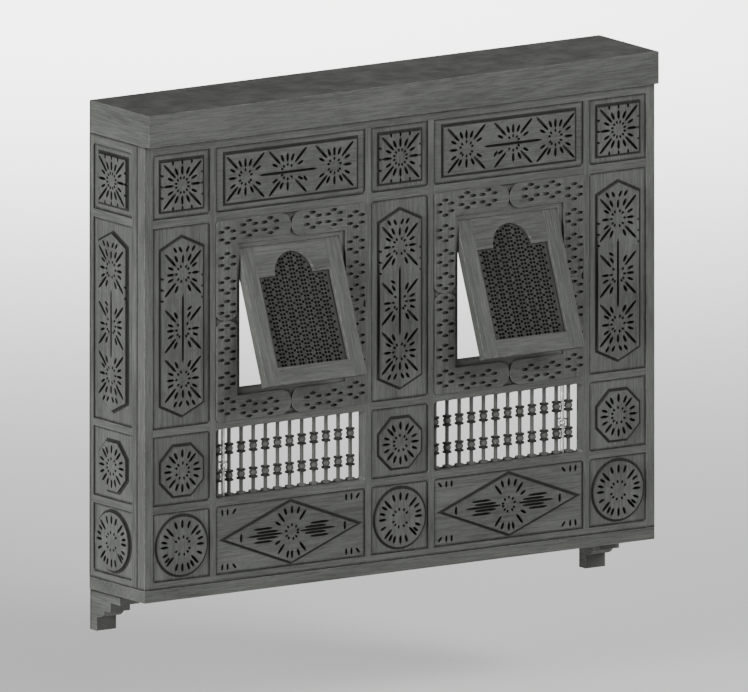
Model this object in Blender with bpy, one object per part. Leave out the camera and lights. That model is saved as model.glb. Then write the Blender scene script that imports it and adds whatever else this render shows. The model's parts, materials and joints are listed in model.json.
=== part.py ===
# Mashrabiya bay: a projecting timber screen that is fixed to a wall.
#
# +X runs along the front, +Y goes into the wall, +Z is up. The origin is the
# centre of the floor board's back edge, where the bay meets the wall.
# Lengths are metres.

from math import atan2, cos, degrees, pi, radians, sin

import bmesh
import bpy

MM = 0.001

# Overall
WIDTH = 2500 * MM
DEPTH = 400 * MM
GAP = 0.3 * MM                     # clearance kept between touching pieces
FLOOR_THICK = 50 * MM
CORNICE_TALL = 134 * MM
CORNICE_PROUD = 32 * MM            # how far the cornice stands in front of the frame
CORNICE_WALL = 60 * MM
CORNICE_RETURN = 40 * MM
ROOF_THICK = 30 * MM

# Front frame
FRAME_THICK = 50 * MM
SIDE_THICK = 40 * MM
STILE = 41 * MM
MULLION = 28 * MM
NARROW = 280 * MM
WIDE = 733 * MM
BOTTOM_RAIL = 30 * MM
RAIL = 30 * MM
UPPER_RAIL = 34 * MM
TOP_RAIL = 38 * MM
ROW_DISC = 284 * MM
ROW_OCTAGON = 288 * MM
ROW_HEXAGON = 832 * MM
ROW_SQUARE = 270 * MM
CORNER_RADIUS = 14 * MM
CORNER_STEPS = 2                   # the same on both sides of a joint, so gaps stay even

# Side frames
BACK_STILE = 29.4 * MM
SIDE_STILE = 40 * MM

# Carved panels
PANEL_SET_BACK = 5 * MM            # panel face behind the frame face
PANEL_THICK = 30 * MM
FIELD_PROUD = 12 * MM
FIELD_SIZE = 200 * MM
FIELD_LONG = 640 * MM
DISC_DIAMETER = 240 * MM
DIAMOND_TALL = 246 * MM
HEXAGON_TALL = 732 * MM
HEXAGON_POINT = 47 * MM
DISC_SIDES = 20
HEXAGON_ROSETTES = (-218 * MM, -13 * MM, 218 * MM)
HEXAGON_SLIT = -8 * MM             # the slit's middle, from the field's
OCTAGON_DROP = 6 * MM              # the octagon sits this much below its opening's middle
LONG_ROSETTES = (-225 * MM, -18 * MM, 211 * MM)
LONG_SLIT = -16 * MM
SLIT_LONG = 300 * MM
SLIT_WIDE = 9 * MM
PETAL_WIDE = 10 * MM

# Leaves: where each begins and ends, along a ray from its rosette's centre
SQUARE_LEAF = (46 * MM, 128 * MM)
LONG_FIELD_LEAF = (52 * MM, 128 * MM)
HEXAGON_LEAF = (48 * MM, 124 * MM)
OCTAGON_LEAF = (45 * MM, 92 * MM)
DISC_LEAF = (60 * MM, 112 * MM)
DIAMOND_LEAF = (60 * MM, 106 * MM)
DIAMOND_LEAF_ANGLES = (51, 129, 231, 309)
DIAMOND_UPRIGHT_LEAF = (73 * MM, 106 * MM)
DIAMOND_MIDDLE_LEAF = (38 * MM, 208 * MM)
DIAMOND_MIDDLE_WIDE = 8 * MM
DIAMOND_OUTER_LEAF = (72 * MM, 176 * MM)
DIAMOND_OUTER_WIDE = 9 * MM
DIAMOND_OUTER_RISE = 16 * MM

# Windows
OPENING_WIDE = 492 * MM
OPENING_TALL = 583 * MM
OPENING_DEEP = 50 * MM
LINING = 24 * MM
CASING_THICK = 32 * MM
PLATE_THICK = 12 * MM
PLATE_ARM_WIDE = 100 * MM          # upright arm
PLATE_ARM_TALL = 102 * MM          # level arm
PLATE_TIP_RISE = 20 * MM           # of the shallow curve that ends the upright arm
PLATE_TIP_GAP = 0.7 * MM
PLATE_END_STEPS = 6
PLATE_TIP_STEPS = 4

# Flaps
FLAP_WIDE = 490 * MM
FLAP_TALL = 579 * MM
FLAP_TOP_GAP = 1.5 * MM
FLAP_THICK = 40 * MM
FLAP_SET_BACK = 15.7 * MM          # flap face behind the frame face when shut
FLAP_OPEN = radians(21)
LIGHT_WIDE = 350 * MM              # the opening in the flap
LIGHT_TALL = 376 * MM
LIGHT_ARCH = 95 * MM
LIGHT_ARCH_STEPS = 10
LIGHT_ABOVE_BOTTOM = 71 * MM
GRILLE_SET_BACK = 15 * MM
GRILLE_THICK = 22 * MM

# Baluster rows
BALUSTER_COUNT = 12
BALUSTER_PITCH = 59.45 * MM
BALUSTER_BEHIND_FACE = 51.5 * MM
BALUSTER_RADIUS = 8 * MM
BALUSTER_SIDES = 5
BALUSTER_BITE = 1 * MM             # how far a shaft runs into each rail
BEAD_RADIUS = 18 * MM
BEAD_TALL = 40 * MM
LOWER_BEAD = 82 * MM               # bead centres above the sill
UPPER_BEAD = 193.5 * MM
GRILLE_RAIL_DEEP = 45 * MM
GRILLE_RAIL_TALL = 14 * MM
ROD_RADIUS = 7.5 * MM
BALL_RADIUS = 12.5 * MM
BALL_RINGS = (-45, 0, 45)          # latitudes
BALL_ABOVE_SILL = 123.5 * MM
COLLAR_RADIUS = 17.5 * MM
COLLAR_TALL = 5 * MM
COLLAR_STEP = 16 * MM              # collar centre from ball centre
ROD_SIDES = 6

ROUND_ANGLE = radians(80)          # turned faces that meet at less are shaded smooth

# Wall brackets
BRACKET_WIDE = 103 * MM
BRACKET_REACH = 217 * MM
BRACKET_STEP = 37 * MM
BRACKET_SHELF = 148 * MM
BRACKET_SHELF_BOTTOM = 76 * MM
OVOLO_TOP = 105 * MM
OVOLO_BOTTOM = 47 * MM
OVOLO_FOOT = 110 * MM
OVOLO_STEPS = 6
BRACKET_DROP = 168 * MM

# Worked-out levels. Z is 0 at mid height of the floor board.
FLOOR_TOP = FLOOR_THICK / 2
FRONT_FACE = -DEPTH
HALF = WIDTH / 2
BODY_BOTTOM = FLOOR_TOP + GAP
ROW_HEIGHTS = [ROW_DISC, ROW_OCTAGON, ROW_HEXAGON, ROW_SQUARE]
RAILS_UNDER_ROWS = [BOTTOM_RAIL, RAIL, RAIL, UPPER_RAIL]
COLUMN_WIDTHS = [NARROW, WIDE, NARROW, WIDE, NARROW]


def row_spans():
    """Bottom and top of each row of openings, from the floor up."""
    spans = []
    level = FLOOR_TOP
    for rail, tall in zip(RAILS_UNDER_ROWS, ROW_HEIGHTS):
        level += rail
        spans.append((level, level + tall))
        level += tall
    return spans


def column_spans():
    """Left and right of each column of openings, from the left."""
    spans = []
    place = -HALF + STILE
    for wide in COLUMN_WIDTHS:
        spans.append((place, place + wide))
        place += wide + MULLION
    return spans


ROWS = row_spans()
COLUMNS = column_spans()
OCTAGON_ROW = 1                    # rows count from the floor up
HEXAGON_ROW = 2
WIDE_COLUMNS = (1, 3)
INNER_LEFT = COLUMNS[0][0]
INNER_RIGHT = COLUMNS[-1][1]
INNER_BOTTOM = ROWS[0][0]
INNER_TOP = ROWS[-1][1]
BODY_TOP = INNER_TOP + TOP_RAIL
CORNICE_BOTTOM = BODY_TOP + GAP
CORNICE_TOP = CORNICE_BOTTOM + CORNICE_TALL
PANEL_FACE = FRONT_FACE + PANEL_SET_BACK
SIDE_DEPTH = DEPTH - FRAME_THICK - GAP
SIDE_PANEL = SIDE_DEPTH - BACK_STILE - SIDE_STILE


def wood(name, colour, roughness):
    material = bpy.data.materials.new(name)
    material.use_nodes = True
    shader = material.node_tree.nodes["Principled BSDF"]
    shader.inputs["Base Color"].default_value = (*colour, 1)
    shader.inputs["Roughness"].default_value = roughness
    return material


def metal(name, colour, roughness):
    material = wood(name, colour, roughness)
    material.node_tree.nodes["Principled BSDF"].inputs["Metallic"].default_value = 1
    return material


def rectangle(left, bottom, right, top):
    return [(left, bottom), (right, bottom), (right, top), (left, top)]


def arc(centre, radius, start, end, steps):
    """Points along an arc, both ends included; angles in degrees."""
    points = []
    for step in range(steps + 1):
        angle = radians(start + (end - start) * step / steps)
        points.append((centre[0] + radius * cos(angle), centre[1] + radius * sin(angle)))
    return points


def rounded(left, bottom, right, top, radii):
    """A rectangle whose corners (bottom left, bottom right, top right, top left)
    are rounded by the radii given; 0 keeps a corner square."""
    corners = [(left, bottom, 1, 1, 180), (right, bottom, -1, 1, 270),
               (right, top, -1, -1, 0), (left, top, 1, -1, 90)]
    points = []
    for (x, z, to_x, to_z, start), radius in zip(corners, radii):
        if radius > 0:
            centre = (x + to_x * radius, z + to_z * radius)
            points += arc(centre, radius, start, start + 90, CORNER_STEPS)
        else:
            points.append((x, z))
    return points


def regular(sides, radius, turn):
    return [(radius * cos(radians(turn + 360 * k / sides)),
             radius * sin(radians(turn + 360 * k / sides))) for k in range(sides)]


def leaf(centre, angle, near, far, wide):
    """A pointed leaf that lies along a ray from the centre."""
    along = (cos(radians(angle)), sin(radians(angle)))
    middle = (near + far) / 2
    places = [(near, 0), (middle, -wide / 2), (far, 0), (middle, wide / 2)]
    return [(centre[0] + r * along[0] - s * along[1],
             centre[1] + r * along[1] + s * along[0]) for r, s in places]


def slit(centre, angle, length, wide):
    """A long cut with pointed ends."""
    along = (cos(radians(angle)), sin(radians(angle)))
    half = length / 2
    taper = half - 2 * wide
    places = [(-half, 0), (-taper, -wide / 2), (taper, -wide / 2),
              (half, 0), (taper, wide / 2), (-taper, wide / 2)]
    return [(centre[0] + r * along[0] - s * along[1],
             centre[1] + r * along[1] + s * along[0]) for r, s in places]


def prism(name, outlines, front, back):
    """One mesh of closed prisms: outlines in X and Z, drawn out along Y."""
    shape = bmesh.new()
    for outline in outlines:
        low = [shape.verts.new((x, front, z)) for x, z in outline]
        high = [shape.verts.new((x, back, z)) for x, z in outline]
        shape.faces.new(low)
        shape.faces.new(list(reversed(high)))
        count = len(outline)
        for k in range(count):
            after = (k + 1) % count
            shape.faces.new((low[k], high[k], high[after], low[after]))
    bmesh.ops.recalc_face_normals(shape, faces=shape.faces)
    mesh = bpy.data.meshes.new(name)
    shape.to_mesh(mesh)
    shape.free()
    thing = bpy.data.objects.new(name, mesh)
    bpy.context.collection.objects.link(thing)
    return thing


def box(name, left, right, front, back, bottom, top):
    return prism(name, [rectangle(left, bottom, right, top)], front, back)


def combine(thing, other, operation):
    """Cut or join with an exact Boolean, and keep only the result."""
    modifier = thing.modifiers.new(operation.title(), "BOOLEAN")
    modifier.operation = operation
    modifier.object = other
    bpy.context.view_layer.update()
    result = thing.evaluated_get(bpy.context.evaluated_depsgraph_get())
    mesh = bpy.data.meshes.new_from_object(result)
    thing.modifiers.clear()
    old_mesh = thing.data
    thing.data = mesh
    mesh.name = thing.name
    bpy.data.meshes.remove(old_mesh)
    bpy.data.objects.remove(other, do_unlink=True)


def cut(thing, *cutters):
    for cutter in cutters:
        combine(thing, cutter, "DIFFERENCE")


def join(thing, *others):
    for other in others:
        combine(thing, other, "UNION")


def turned(name, profile, sides, centre):
    """A closed solid turned about an upright axis; profile is (radius, height)."""
    shape = bmesh.new()
    rings = []
    for radius, height in profile:
        ring = [shape.verts.new((centre[0] + radius * cos(2 * pi * k / sides),
                                 centre[1] + radius * sin(2 * pi * k / sides),
                                 centre[2] + height)) for k in range(sides)]
        rings.append(ring)
    for lower, upper in zip(rings, rings[1:]):
        for k in range(sides):
            after = (k + 1) % sides
            shape.faces.new((lower[k], lower[after], upper[after], upper[k]))
    shape.faces.new(list(reversed(rings[0])))
    shape.faces.new(rings[-1])
    mesh = bpy.data.meshes.new(name)
    shape.to_mesh(mesh)
    shape.free()
    thing = bpy.data.objects.new(name, mesh)
    bpy.context.collection.objects.link(thing)
    return thing


def finish(thing, material, turned_work=False):
    thing.data.materials.clear()
    thing.data.materials.append(material)
    if turned_work:
        thing.data.shade_smooth()
        thing.data.set_sharp_from_angle(angle=ROUND_ANGLE)
    return thing


# Carved fields. Each gives its outline and the leaves cut right through it, about (0, 0).

def diagonal_leaves(centre, reach):
    return [leaf(centre, 45 + 90 * k, *reach, PETAL_WIDE) for k in range(4)]


def square_field():
    half = FIELD_SIZE / 2
    return rectangle(-half, -half, half, half), diagonal_leaves((0, 0), SQUARE_LEAF)


def rectangle_field():
    half = FIELD_SIZE / 2
    reach = FIELD_LONG / 2
    leaves = [slit((LONG_SLIT, 0), 0, SLIT_LONG, SLIT_WIDE)]
    for place in LONG_ROSETTES:
        leaves += diagonal_leaves((place, 0), LONG_FIELD_LEAF)
    return rectangle(-reach, -half, reach, half), leaves


def hexagon_field():
    half = FIELD_SIZE / 2
    tip = HEXAGON_TALL / 2
    shoulder = tip - HEXAGON_POINT
    outline = [(0, -tip), (half, -shoulder), (half, shoulder),
               (0, tip), (-half, shoulder), (-half, -shoulder)]
    leaves = [slit((0, HEXAGON_SLIT), 90, SLIT_LONG, SLIT_WIDE)]
    for place in HEXAGON_ROSETTES:
        leaves += diagonal_leaves((0, place), HEXAGON_LEAF)
    return outline, leaves


def octagon_field():
    corner = FIELD_SIZE / 2 / cos(pi / 8)
    outline = [(x, z - OCTAGON_DROP) for x, z in regular(8, corner, 22.5)]
    return outline, diagonal_leaves((0, -OCTAGON_DROP), OCTAGON_LEAF)


def disc_field():
    outline = regular(DISC_SIDES, DISC_DIAMETER / 2, 180 / DISC_SIDES)
    return outline, diagonal_leaves((0, 0), DISC_LEAF)


def diamond_field():
    reach = FIELD_LONG / 2
    half = DIAMOND_TALL / 2
    outline = [(0, -half), (reach, 0), (0, half), (-reach, 0)]
    leaves = [leaf((0, 0), angle, *DIAMOND_LEAF, PETAL_WIDE) for angle in DIAMOND_LEAF_ANGLES]
    leaves += [leaf((0, 0), angle, *DIAMOND_UPRIGHT_LEAF, PETAL_WIDE) for angle in (90, 270)]
    for side in (0, 180):
        leaves.append(leaf((0, 0), side, *DIAMOND_MIDDLE_LEAF, DIAMOND_MIDDLE_WIDE))
        for up in (-1, 1):
            leaves.append(leaf((0, up * DIAMOND_OUTER_RISE), side, *DIAMOND_OUTER_LEAF, DIAMOND_OUTER_WIDE))
    return outline, leaves


def carved_panel(name, wide, tall, radii, field, material, turned=False):
    """A board with a raised field, centred on X and Z, its face at Y = 0.
    A turned one has its cuts laid out left for right."""
    trimmed = [max(radius - GAP, 0) for radius in radii]
    outline = rounded(-wide / 2 + GAP, -tall / 2 + GAP, wide / 2 - GAP, tall / 2 - GAP, trimmed)
    panel = prism(name, [outline], 0, PANEL_THICK)
    shape, leaves = field
    if turned:
        leaves = [[(-x, z) for x, z in reversed(points)] for points in leaves]
    join(panel, prism("field", [shape], -FIELD_PROUD, PANEL_THICK / 2))
    cut(panel, prism("leaves", leaves, -2 * FIELD_PROUD, 2 * PANEL_THICK))
    return finish(panel, material)


def front_radii(column, row):
    """Corner radii of one opening of the front: bottom left, bottom right,
    top right, top left. Corners where two bars cross, and the frame's own
    four corners, are rounded; where a bar meets the outer frame they're square."""
    radii = []
    for right, upper in ((0, 0), (1, 0), (1, 1), (0, 1)):
        on_side = column == (len(COLUMNS) - 1 if right else 0)
        on_end = row == (len(ROWS) - 1 if upper else 0)
        radii.append(CORNER_RADIUS if on_side == on_end else 0)
    return radii


def side_radii(row):
    bottom = CORNER_RADIUS if row == 0 else 0
    top = CORNER_RADIUS if row == len(ROWS) - 1 else 0
    return [bottom, bottom, top, top]


FIELDS = {"disc": disc_field, "octagon": octagon_field, "hexagon": hexagon_field,
          "square": square_field, "diamond": diamond_field, "rectangle": rectangle_field}
NARROW_FIELDS = ("disc", "octagon", "hexagon", "square")
WIDE_FIELDS = ("diamond", None, None, "rectangle")
COLUMN_NAMES = ("left", "window_left", "middle", "window_right", "right")


def front_panels(material):
    for column, (left, right) in enumerate(COLUMNS):
        fields = WIDE_FIELDS if column in WIDE_COLUMNS else NARROW_FIELDS
        for row, (bottom, top) in enumerate(ROWS):
            if fields[row] is None:
                continue
            name = f"front_{fields[row]}_panel_{COLUMN_NAMES[column]}"
            panel = carved_panel(name, right - left, top - bottom, front_radii(column, row),
                                 FIELDS[fields[row]](), material, turned=column > 1)
            panel.location = ((left + right) / 2, PANEL_FACE, (bottom + top) / 2)


def side_panels(material):
    for side, turn in (("left", -90), ("right", 90)):
        outward = -1 if side == "left" else 1
        middle = -(BACK_STILE + SIDE_PANEL / 2)
        for row, (bottom, top) in enumerate(ROWS):
            name = f"{side}_side_{NARROW_FIELDS[row]}_panel"
            panel = carved_panel(name, SIDE_PANEL, top - bottom, side_radii(row),
                                 FIELDS[NARROW_FIELDS[row]](), material, turned=side == "left")
            panel.rotation_euler = (0, 0, radians(turn))
            panel.location = (outward * (HALF - PANEL_SET_BACK), middle, (bottom + top) / 2)


def outer_frame(material):
    """Two stiles of full height, and a top and a bottom rail between them
    with a small concave fillet at each end."""
    back = FRONT_FACE + FRAME_THICK
    for side, left, right in (("left", -HALF, INNER_LEFT), ("right", INNER_RIGHT, HALF)):
        finish(box(f"front_stile_{side}", left, right, FRONT_FACE, back, BODY_BOTTOM, BODY_TOP), material)
    near = INNER_LEFT + GAP
    far = INNER_RIGHT - GAP
    for name, low, high in (("front_bottom_rail", BODY_BOTTOM, INNER_BOTTOM + CORNER_RADIUS),
                            ("front_top_rail", INNER_TOP - CORNER_RADIUS, BODY_TOP)):
        rail = box(name, near, far, FRONT_FACE, back, low, high)
        inside = rounded(INNER_LEFT, INNER_BOTTOM, INNER_RIGHT, INNER_TOP, [CORNER_RADIUS] * 4)
        cut(rail, prism("inside", [inside], FRONT_FACE - STILE, back + STILE))
        finish(rail, material)


def front_grid(material):
    """The mullions and rails that divide the front, halved together as one grid."""
    back = FRONT_FACE + FRAME_THICK
    grid = box("front_grid", INNER_LEFT + GAP, INNER_RIGHT - GAP, FRONT_FACE, back,
               INNER_BOTTOM + GAP, INNER_TOP - GAP)
    past = STILE / 2
    openings = []
    for column, (left, right) in enumerate(COLUMNS):
        for row, (bottom, top) in enumerate(ROWS):
            on_left, on_right = column == 0, column == len(COLUMNS) - 1
            on_bottom, on_top = row == 0, row == len(ROWS) - 1
            radii = [0 if (on_left or on_bottom) else CORNER_RADIUS,
                     0 if (on_right or on_bottom) else CORNER_RADIUS,
                     0 if (on_right or on_top) else CORNER_RADIUS,
                     0 if (on_left or on_top) else CORNER_RADIUS]
            openings.append(rounded(left - past * on_left, bottom - past * on_bottom,
                                    right + past * on_right, top + past * on_top, radii))
    cut(grid, prism("openings", openings, FRONT_FACE - past, back + past))
    bottom, top = ROWS[OCTAGON_ROW]
    for column in WIDE_COLUMNS:
        left, right = COLUMNS[column]
        front = FRONT_FACE + BALUSTER_BEHIND_FACE - GRILLE_RAIL_DEEP / 2 - GAP
        for low, high in ((bottom - GRILLE_RAIL_TALL - GAP, bottom + GAP),
                          (top - GAP, top + GRILLE_RAIL_TALL + GAP)):
            cut(grid, box("rebate", left, right, front, back + past, low, high))
    return finish(grid, material)


def side_frames(material):
    """Each side: one framed piece with four openings, behind the front frame."""
    for side, turn in (("left", -90), ("right", 90)):
        outward = -1 if side == "left" else 1
        half = SIDE_DEPTH / 2
        toward_front = 1 if side == "left" else -1
        frame = prism(f"side_frame_{side}", [rectangle(-half, BODY_BOTTOM, half, BODY_TOP)], 0, SIDE_THICK)
        middle = toward_front * (BACK_STILE - SIDE_STILE) / 2
        openings = [rounded(middle - SIDE_PANEL / 2, bottom, middle + SIDE_PANEL / 2, top, side_radii(row))
                    for row, (bottom, top) in enumerate(ROWS)]
        cut(frame, prism("openings", openings, -SIDE_THICK, 2 * SIDE_THICK))
        frame.rotation_euler = (0, 0, radians(turn))
        frame.location = (outward * HALF, -half, 0)
        finish(frame, material)


def floor_board(material):
    finish(box("floor_board", -HALF, HALF, FRONT_FACE, 0, -FLOOR_TOP, FLOOR_TOP), material)


def cornice(material):
    """A hollow box, open below and toward the wall."""
    front = FRONT_FACE - CORNICE_PROUD
    shell = box("cornice", -HALF, HALF, front, 0, CORNICE_BOTTOM, CORNICE_TOP)
    hollow = box("hollow", -HALF + CORNICE_RETURN, HALF - CORNICE_RETURN, front + CORNICE_WALL, ROOF_THICK,
                 CORNICE_BOTTOM - ROOF_THICK, CORNICE_TOP - ROOF_THICK)
    cut(shell, hollow)
    finish(shell, material)


def brackets(material):
    """Moulded wall blocks under both ends: two steps, then an ovolo."""
    outline = [(0, -GAP), (-BRACKET_REACH, -GAP), (-BRACKET_REACH, -BRACKET_STEP),
               (-BRACKET_SHELF, -BRACKET_STEP), (-BRACKET_SHELF, -BRACKET_SHELF_BOTTOM)]
    run = OVOLO_TOP - OVOLO_BOTTOM
    drop = OVOLO_FOOT - BRACKET_SHELF_BOTTOM
    for step in range(OVOLO_STEPS + 1):
        angle = pi / 2 * step / OVOLO_STEPS
        outline.append((-OVOLO_BOTTOM - run * cos(angle), -BRACKET_SHELF_BOTTOM - drop * sin(angle)))
    outline += [(-OVOLO_BOTTOM, -BRACKET_DROP), (0, -BRACKET_DROP)]
    for side, left in (("left", -HALF), ("right", HALF - BRACKET_WIDE)):
        block = prism(f"wall_bracket_{side}", [outline], 0, BRACKET_WIDE)
        # the outline was drawn in X; this turn lays it along Y
        block.rotation_euler = (0, 0, radians(90))
        block.location = (left + BRACKET_WIDE, 0, -FLOOR_TOP)
        finish(block, material)


def window_casing(name, column, material):
    left, right = COLUMNS[column]
    bottom, top = ROWS[HEXAGON_ROW]
    wide, tall = right - left, top - bottom
    trimmed = [CORNER_RADIUS - GAP] * 4
    outline = rounded(-wide / 2 + GAP, -tall / 2 + GAP, wide / 2 - GAP, tall / 2 - GAP, trimmed)
    casing = prism(name, [outline], 0, CASING_THICK)
    reach_x = OPENING_WIDE / 2 + LINING
    reach_z = OPENING_TALL / 2 + LINING
    lining = rectangle(-reach_x, -reach_z, reach_x, reach_z)
    join(casing, prism("lining", [lining], CASING_THICK / 2, OPENING_DEEP))
    hole = rectangle(-OPENING_WIDE / 2, -OPENING_TALL / 2, OPENING_WIDE / 2, OPENING_TALL / 2)
    cut(casing, prism("opening", [hole], -OPENING_DEEP, 2 * OPENING_DEEP))
    casing.location = ((left + right) / 2, PANEL_FACE, (bottom + top) / 2)
    return finish(casing, material)


def plate_outline(to_x, to_z):
    """An L-shaped corner plate about the window's centre. The level arm ends
    in a half round, the upright arm in a shallow curve."""
    reach_x = WIDE / 2 - GAP
    reach_z = ROW_HEXAGON / 2 - GAP
    inner_x = reach_x - PLATE_ARM_WIDE
    inner_z = reach_z - PLATE_ARM_TALL
    end_radius = PLATE_ARM_TALL / 2
    corner = CORNER_RADIUS - GAP
    half_arm = PLATE_ARM_WIDE / 2
    tip_radius = (half_arm ** 2 + PLATE_TIP_RISE ** 2) / (2 * PLATE_TIP_RISE)
    tip_spread = 90 - degrees(atan2(tip_radius - PLATE_TIP_RISE, half_arm))
    points = arc((reach_x - corner, reach_z - corner), corner, 0, 90, CORNER_STEPS)
    points += arc((PLATE_TIP_GAP + end_radius, inner_z + end_radius), end_radius, 90, 270, PLATE_END_STEPS)
    points.append((inner_x, inner_z))
    tip_centre = (inner_x + half_arm, PLATE_TIP_GAP + tip_radius)
    points += arc(tip_centre, tip_radius, 270 - tip_spread, 270 + tip_spread, PLATE_TIP_STEPS)
    return [(to_x * x, to_z * z) for x, z in points]


def corner_plates(side, column, material):
    left, right = COLUMNS[column]
    bottom, top = ROWS[HEXAGON_ROW]
    for place, to_x, to_z in (("top_left", -1, 1), ("top_right", 1, 1),
                              ("bottom_left", -1, -1), ("bottom_right", 1, -1)):
        plate = prism(f"corner_plate_{side}_{place}", [plate_outline(to_x, to_z)], -PLATE_THICK, -GAP)
        plate.location = ((left + right) / 2, PANEL_FACE, (bottom + top) / 2)
        finish(plate, material)


def light_outline(shrink):
    """The flap's opening, below the hinge line: a rectangle with a half round on top."""
    bottom = -FLAP_TALL + LIGHT_ABOVE_BOTTOM + shrink
    top = -FLAP_TALL + LIGHT_ABOVE_BOTTOM + LIGHT_TALL - shrink
    half = LIGHT_WIDE / 2 - shrink
    radius = LIGHT_ARCH - shrink
    points = [(-half, bottom), (half, bottom), (half, top)]
    points += arc((0, top), radius, 0, 180, LIGHT_ARCH_STEPS)
    points.append((-half, top))
    return points


def flap(side, column, frame_material, grille_material):
    """A top-hung flap, swung open about the upper edge of its face."""
    left, right = COLUMNS[column]
    bottom, top = ROWS[HEXAGON_ROW]
    middle = ((left + right) / 2, (bottom + top) / 2)
    half = FLAP_WIDE / 2
    grille_back = GRILLE_SET_BACK + GRILLE_THICK
    hinge = bpy.data.objects.new(f"hinge_{side}", None)
    bpy.context.collection.objects.link(hinge)
    hinge.location = (middle[0], FRONT_FACE + FLAP_SET_BACK, middle[1] + OPENING_TALL / 2 - FLAP_TOP_GAP)
    hinge.rotation_euler = (-FLAP_OPEN, 0, 0)
    leaf_frame = prism(f"flap_{side}", [rectangle(-half, -FLAP_TALL, half, 0)], 0, FLAP_THICK)
    cut(leaf_frame, prism("light", [light_outline(0)], -FLAP_THICK, 2 * FLAP_THICK))
    grille = prism(f"flap_grille_{side}", [light_outline(GAP)], GRILLE_SET_BACK, grille_back)
    for piece in (leaf_frame, grille):
        piece.parent = hinge
    finish(leaf_frame, frame_material)
    finish(grille, grille_material)


def baluster_profile(tall):
    """Radius and height: two beads on a plain shaft that runs a little into both rails."""
    profile = [(BALUSTER_RADIUS, -BALUSTER_BITE)]
    for centre in (LOWER_BEAD, UPPER_BEAD):
        profile += [(BALUSTER_RADIUS, centre - BEAD_TALL / 2), (BEAD_RADIUS, centre - BEAD_TALL / 2),
                    (BEAD_RADIUS, centre + BEAD_TALL / 2), (BALUSTER_RADIUS, centre + BEAD_TALL / 2)]
    return profile + [(BALUSTER_RADIUS, tall + BALUSTER_BITE)]


def baluster_grille(side, column, material):
    """Twelve balusters between two rails that lie in rebates behind the frame."""
    left, right = COLUMNS[column]
    bottom, top = ROWS[OCTAGON_ROW]
    axis = FRONT_FACE + BALUSTER_BEHIND_FACE
    front = axis - GRILLE_RAIL_DEEP / 2
    back = axis + GRILLE_RAIL_DEEP / 2
    grille = box(f"baluster_grille_{side}", left + GAP, right - GAP, front, back,
                 bottom - GRILLE_RAIL_TALL, bottom)
    join(grille, box("top", left + GAP, right - GAP, front, back, top, top + GRILLE_RAIL_TALL))
    profile = baluster_profile(top - bottom)
    middle = (left + right) / 2
    for k in range(BALUSTER_COUNT):
        place = middle + (k - (BALUSTER_COUNT - 1) / 2) * BALUSTER_PITCH
        join(grille, turned("baluster", profile, BALUSTER_SIDES, (place, axis, bottom)))
    return finish(grille, material, turned_work=True)


def tie_rod(side, column, outward, material):
    """A slim rod with a ball between two collars, in the outermost gap."""
    left, right = COLUMNS[column]
    bottom, top = ROWS[OCTAGON_ROW]
    middle = (left + right) / 2
    place = middle + outward * (BALUSTER_COUNT / 2 - 1) * BALUSTER_PITCH
    profile = [(ROD_RADIUS, GAP)]
    for collar in (-1, 1):
        centre = BALL_ABOVE_SILL + collar * COLLAR_STEP
        ring = [(ROD_RADIUS, centre - COLLAR_TALL / 2), (COLLAR_RADIUS, centre - COLLAR_TALL / 2),
                (COLLAR_RADIUS, centre + COLLAR_TALL / 2), (ROD_RADIUS, centre + COLLAR_TALL / 2)]
        if collar == 1:
            for angle in BALL_RINGS:
                profile.append((BALL_RADIUS * cos(radians(angle)),
                                BALL_ABOVE_SILL + BALL_RADIUS * sin(radians(angle))))
        profile += ring
    profile.append((ROD_RADIUS, top - bottom - GAP))
    rod = turned(f"tie_rod_{side}", profile, ROD_SIDES, (place, FRONT_FACE + BALUSTER_BEHIND_FACE, bottom))
    return finish(rod, material, turned_work=True)


def main():
    for thing in list(bpy.data.objects):
        bpy.data.objects.remove(thing, do_unlink=True)
    frame_wood = wood("Frame timber", (0.125, 0.130, 0.122), 0.62)
    panel_wood = wood("Panel timber", (0.118, 0.124, 0.115), 0.66)
    turned_wood = wood("Turned timber", (0.140, 0.145, 0.136), 0.55)
    pale_metal = metal("Tinned iron", (0.62, 0.62, 0.60), 0.38)

    floor_board(frame_wood)
    cornice(frame_wood)
    brackets(frame_wood)
    outer_frame(frame_wood)
    front_grid(frame_wood)
    side_frames(frame_wood)
    front_panels(panel_wood)
    side_panels(panel_wood)
    for side, column, outward in (("left", 1, -1), ("right", 3, 1)):
        window_casing(f"window_casing_{side}", column, panel_wood)
        corner_plates(side, column, panel_wood)
        flap(side, column, frame_wood, panel_wood)
        baluster_grille(side, column, turned_wood)
        tie_rod(side, column, outward, pale_metal)


main()
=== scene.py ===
import json
from math import atan2, cos, degrees, pi, radians, sin

import bmesh
import bpy
from mathutils import Matrix, Vector


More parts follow.
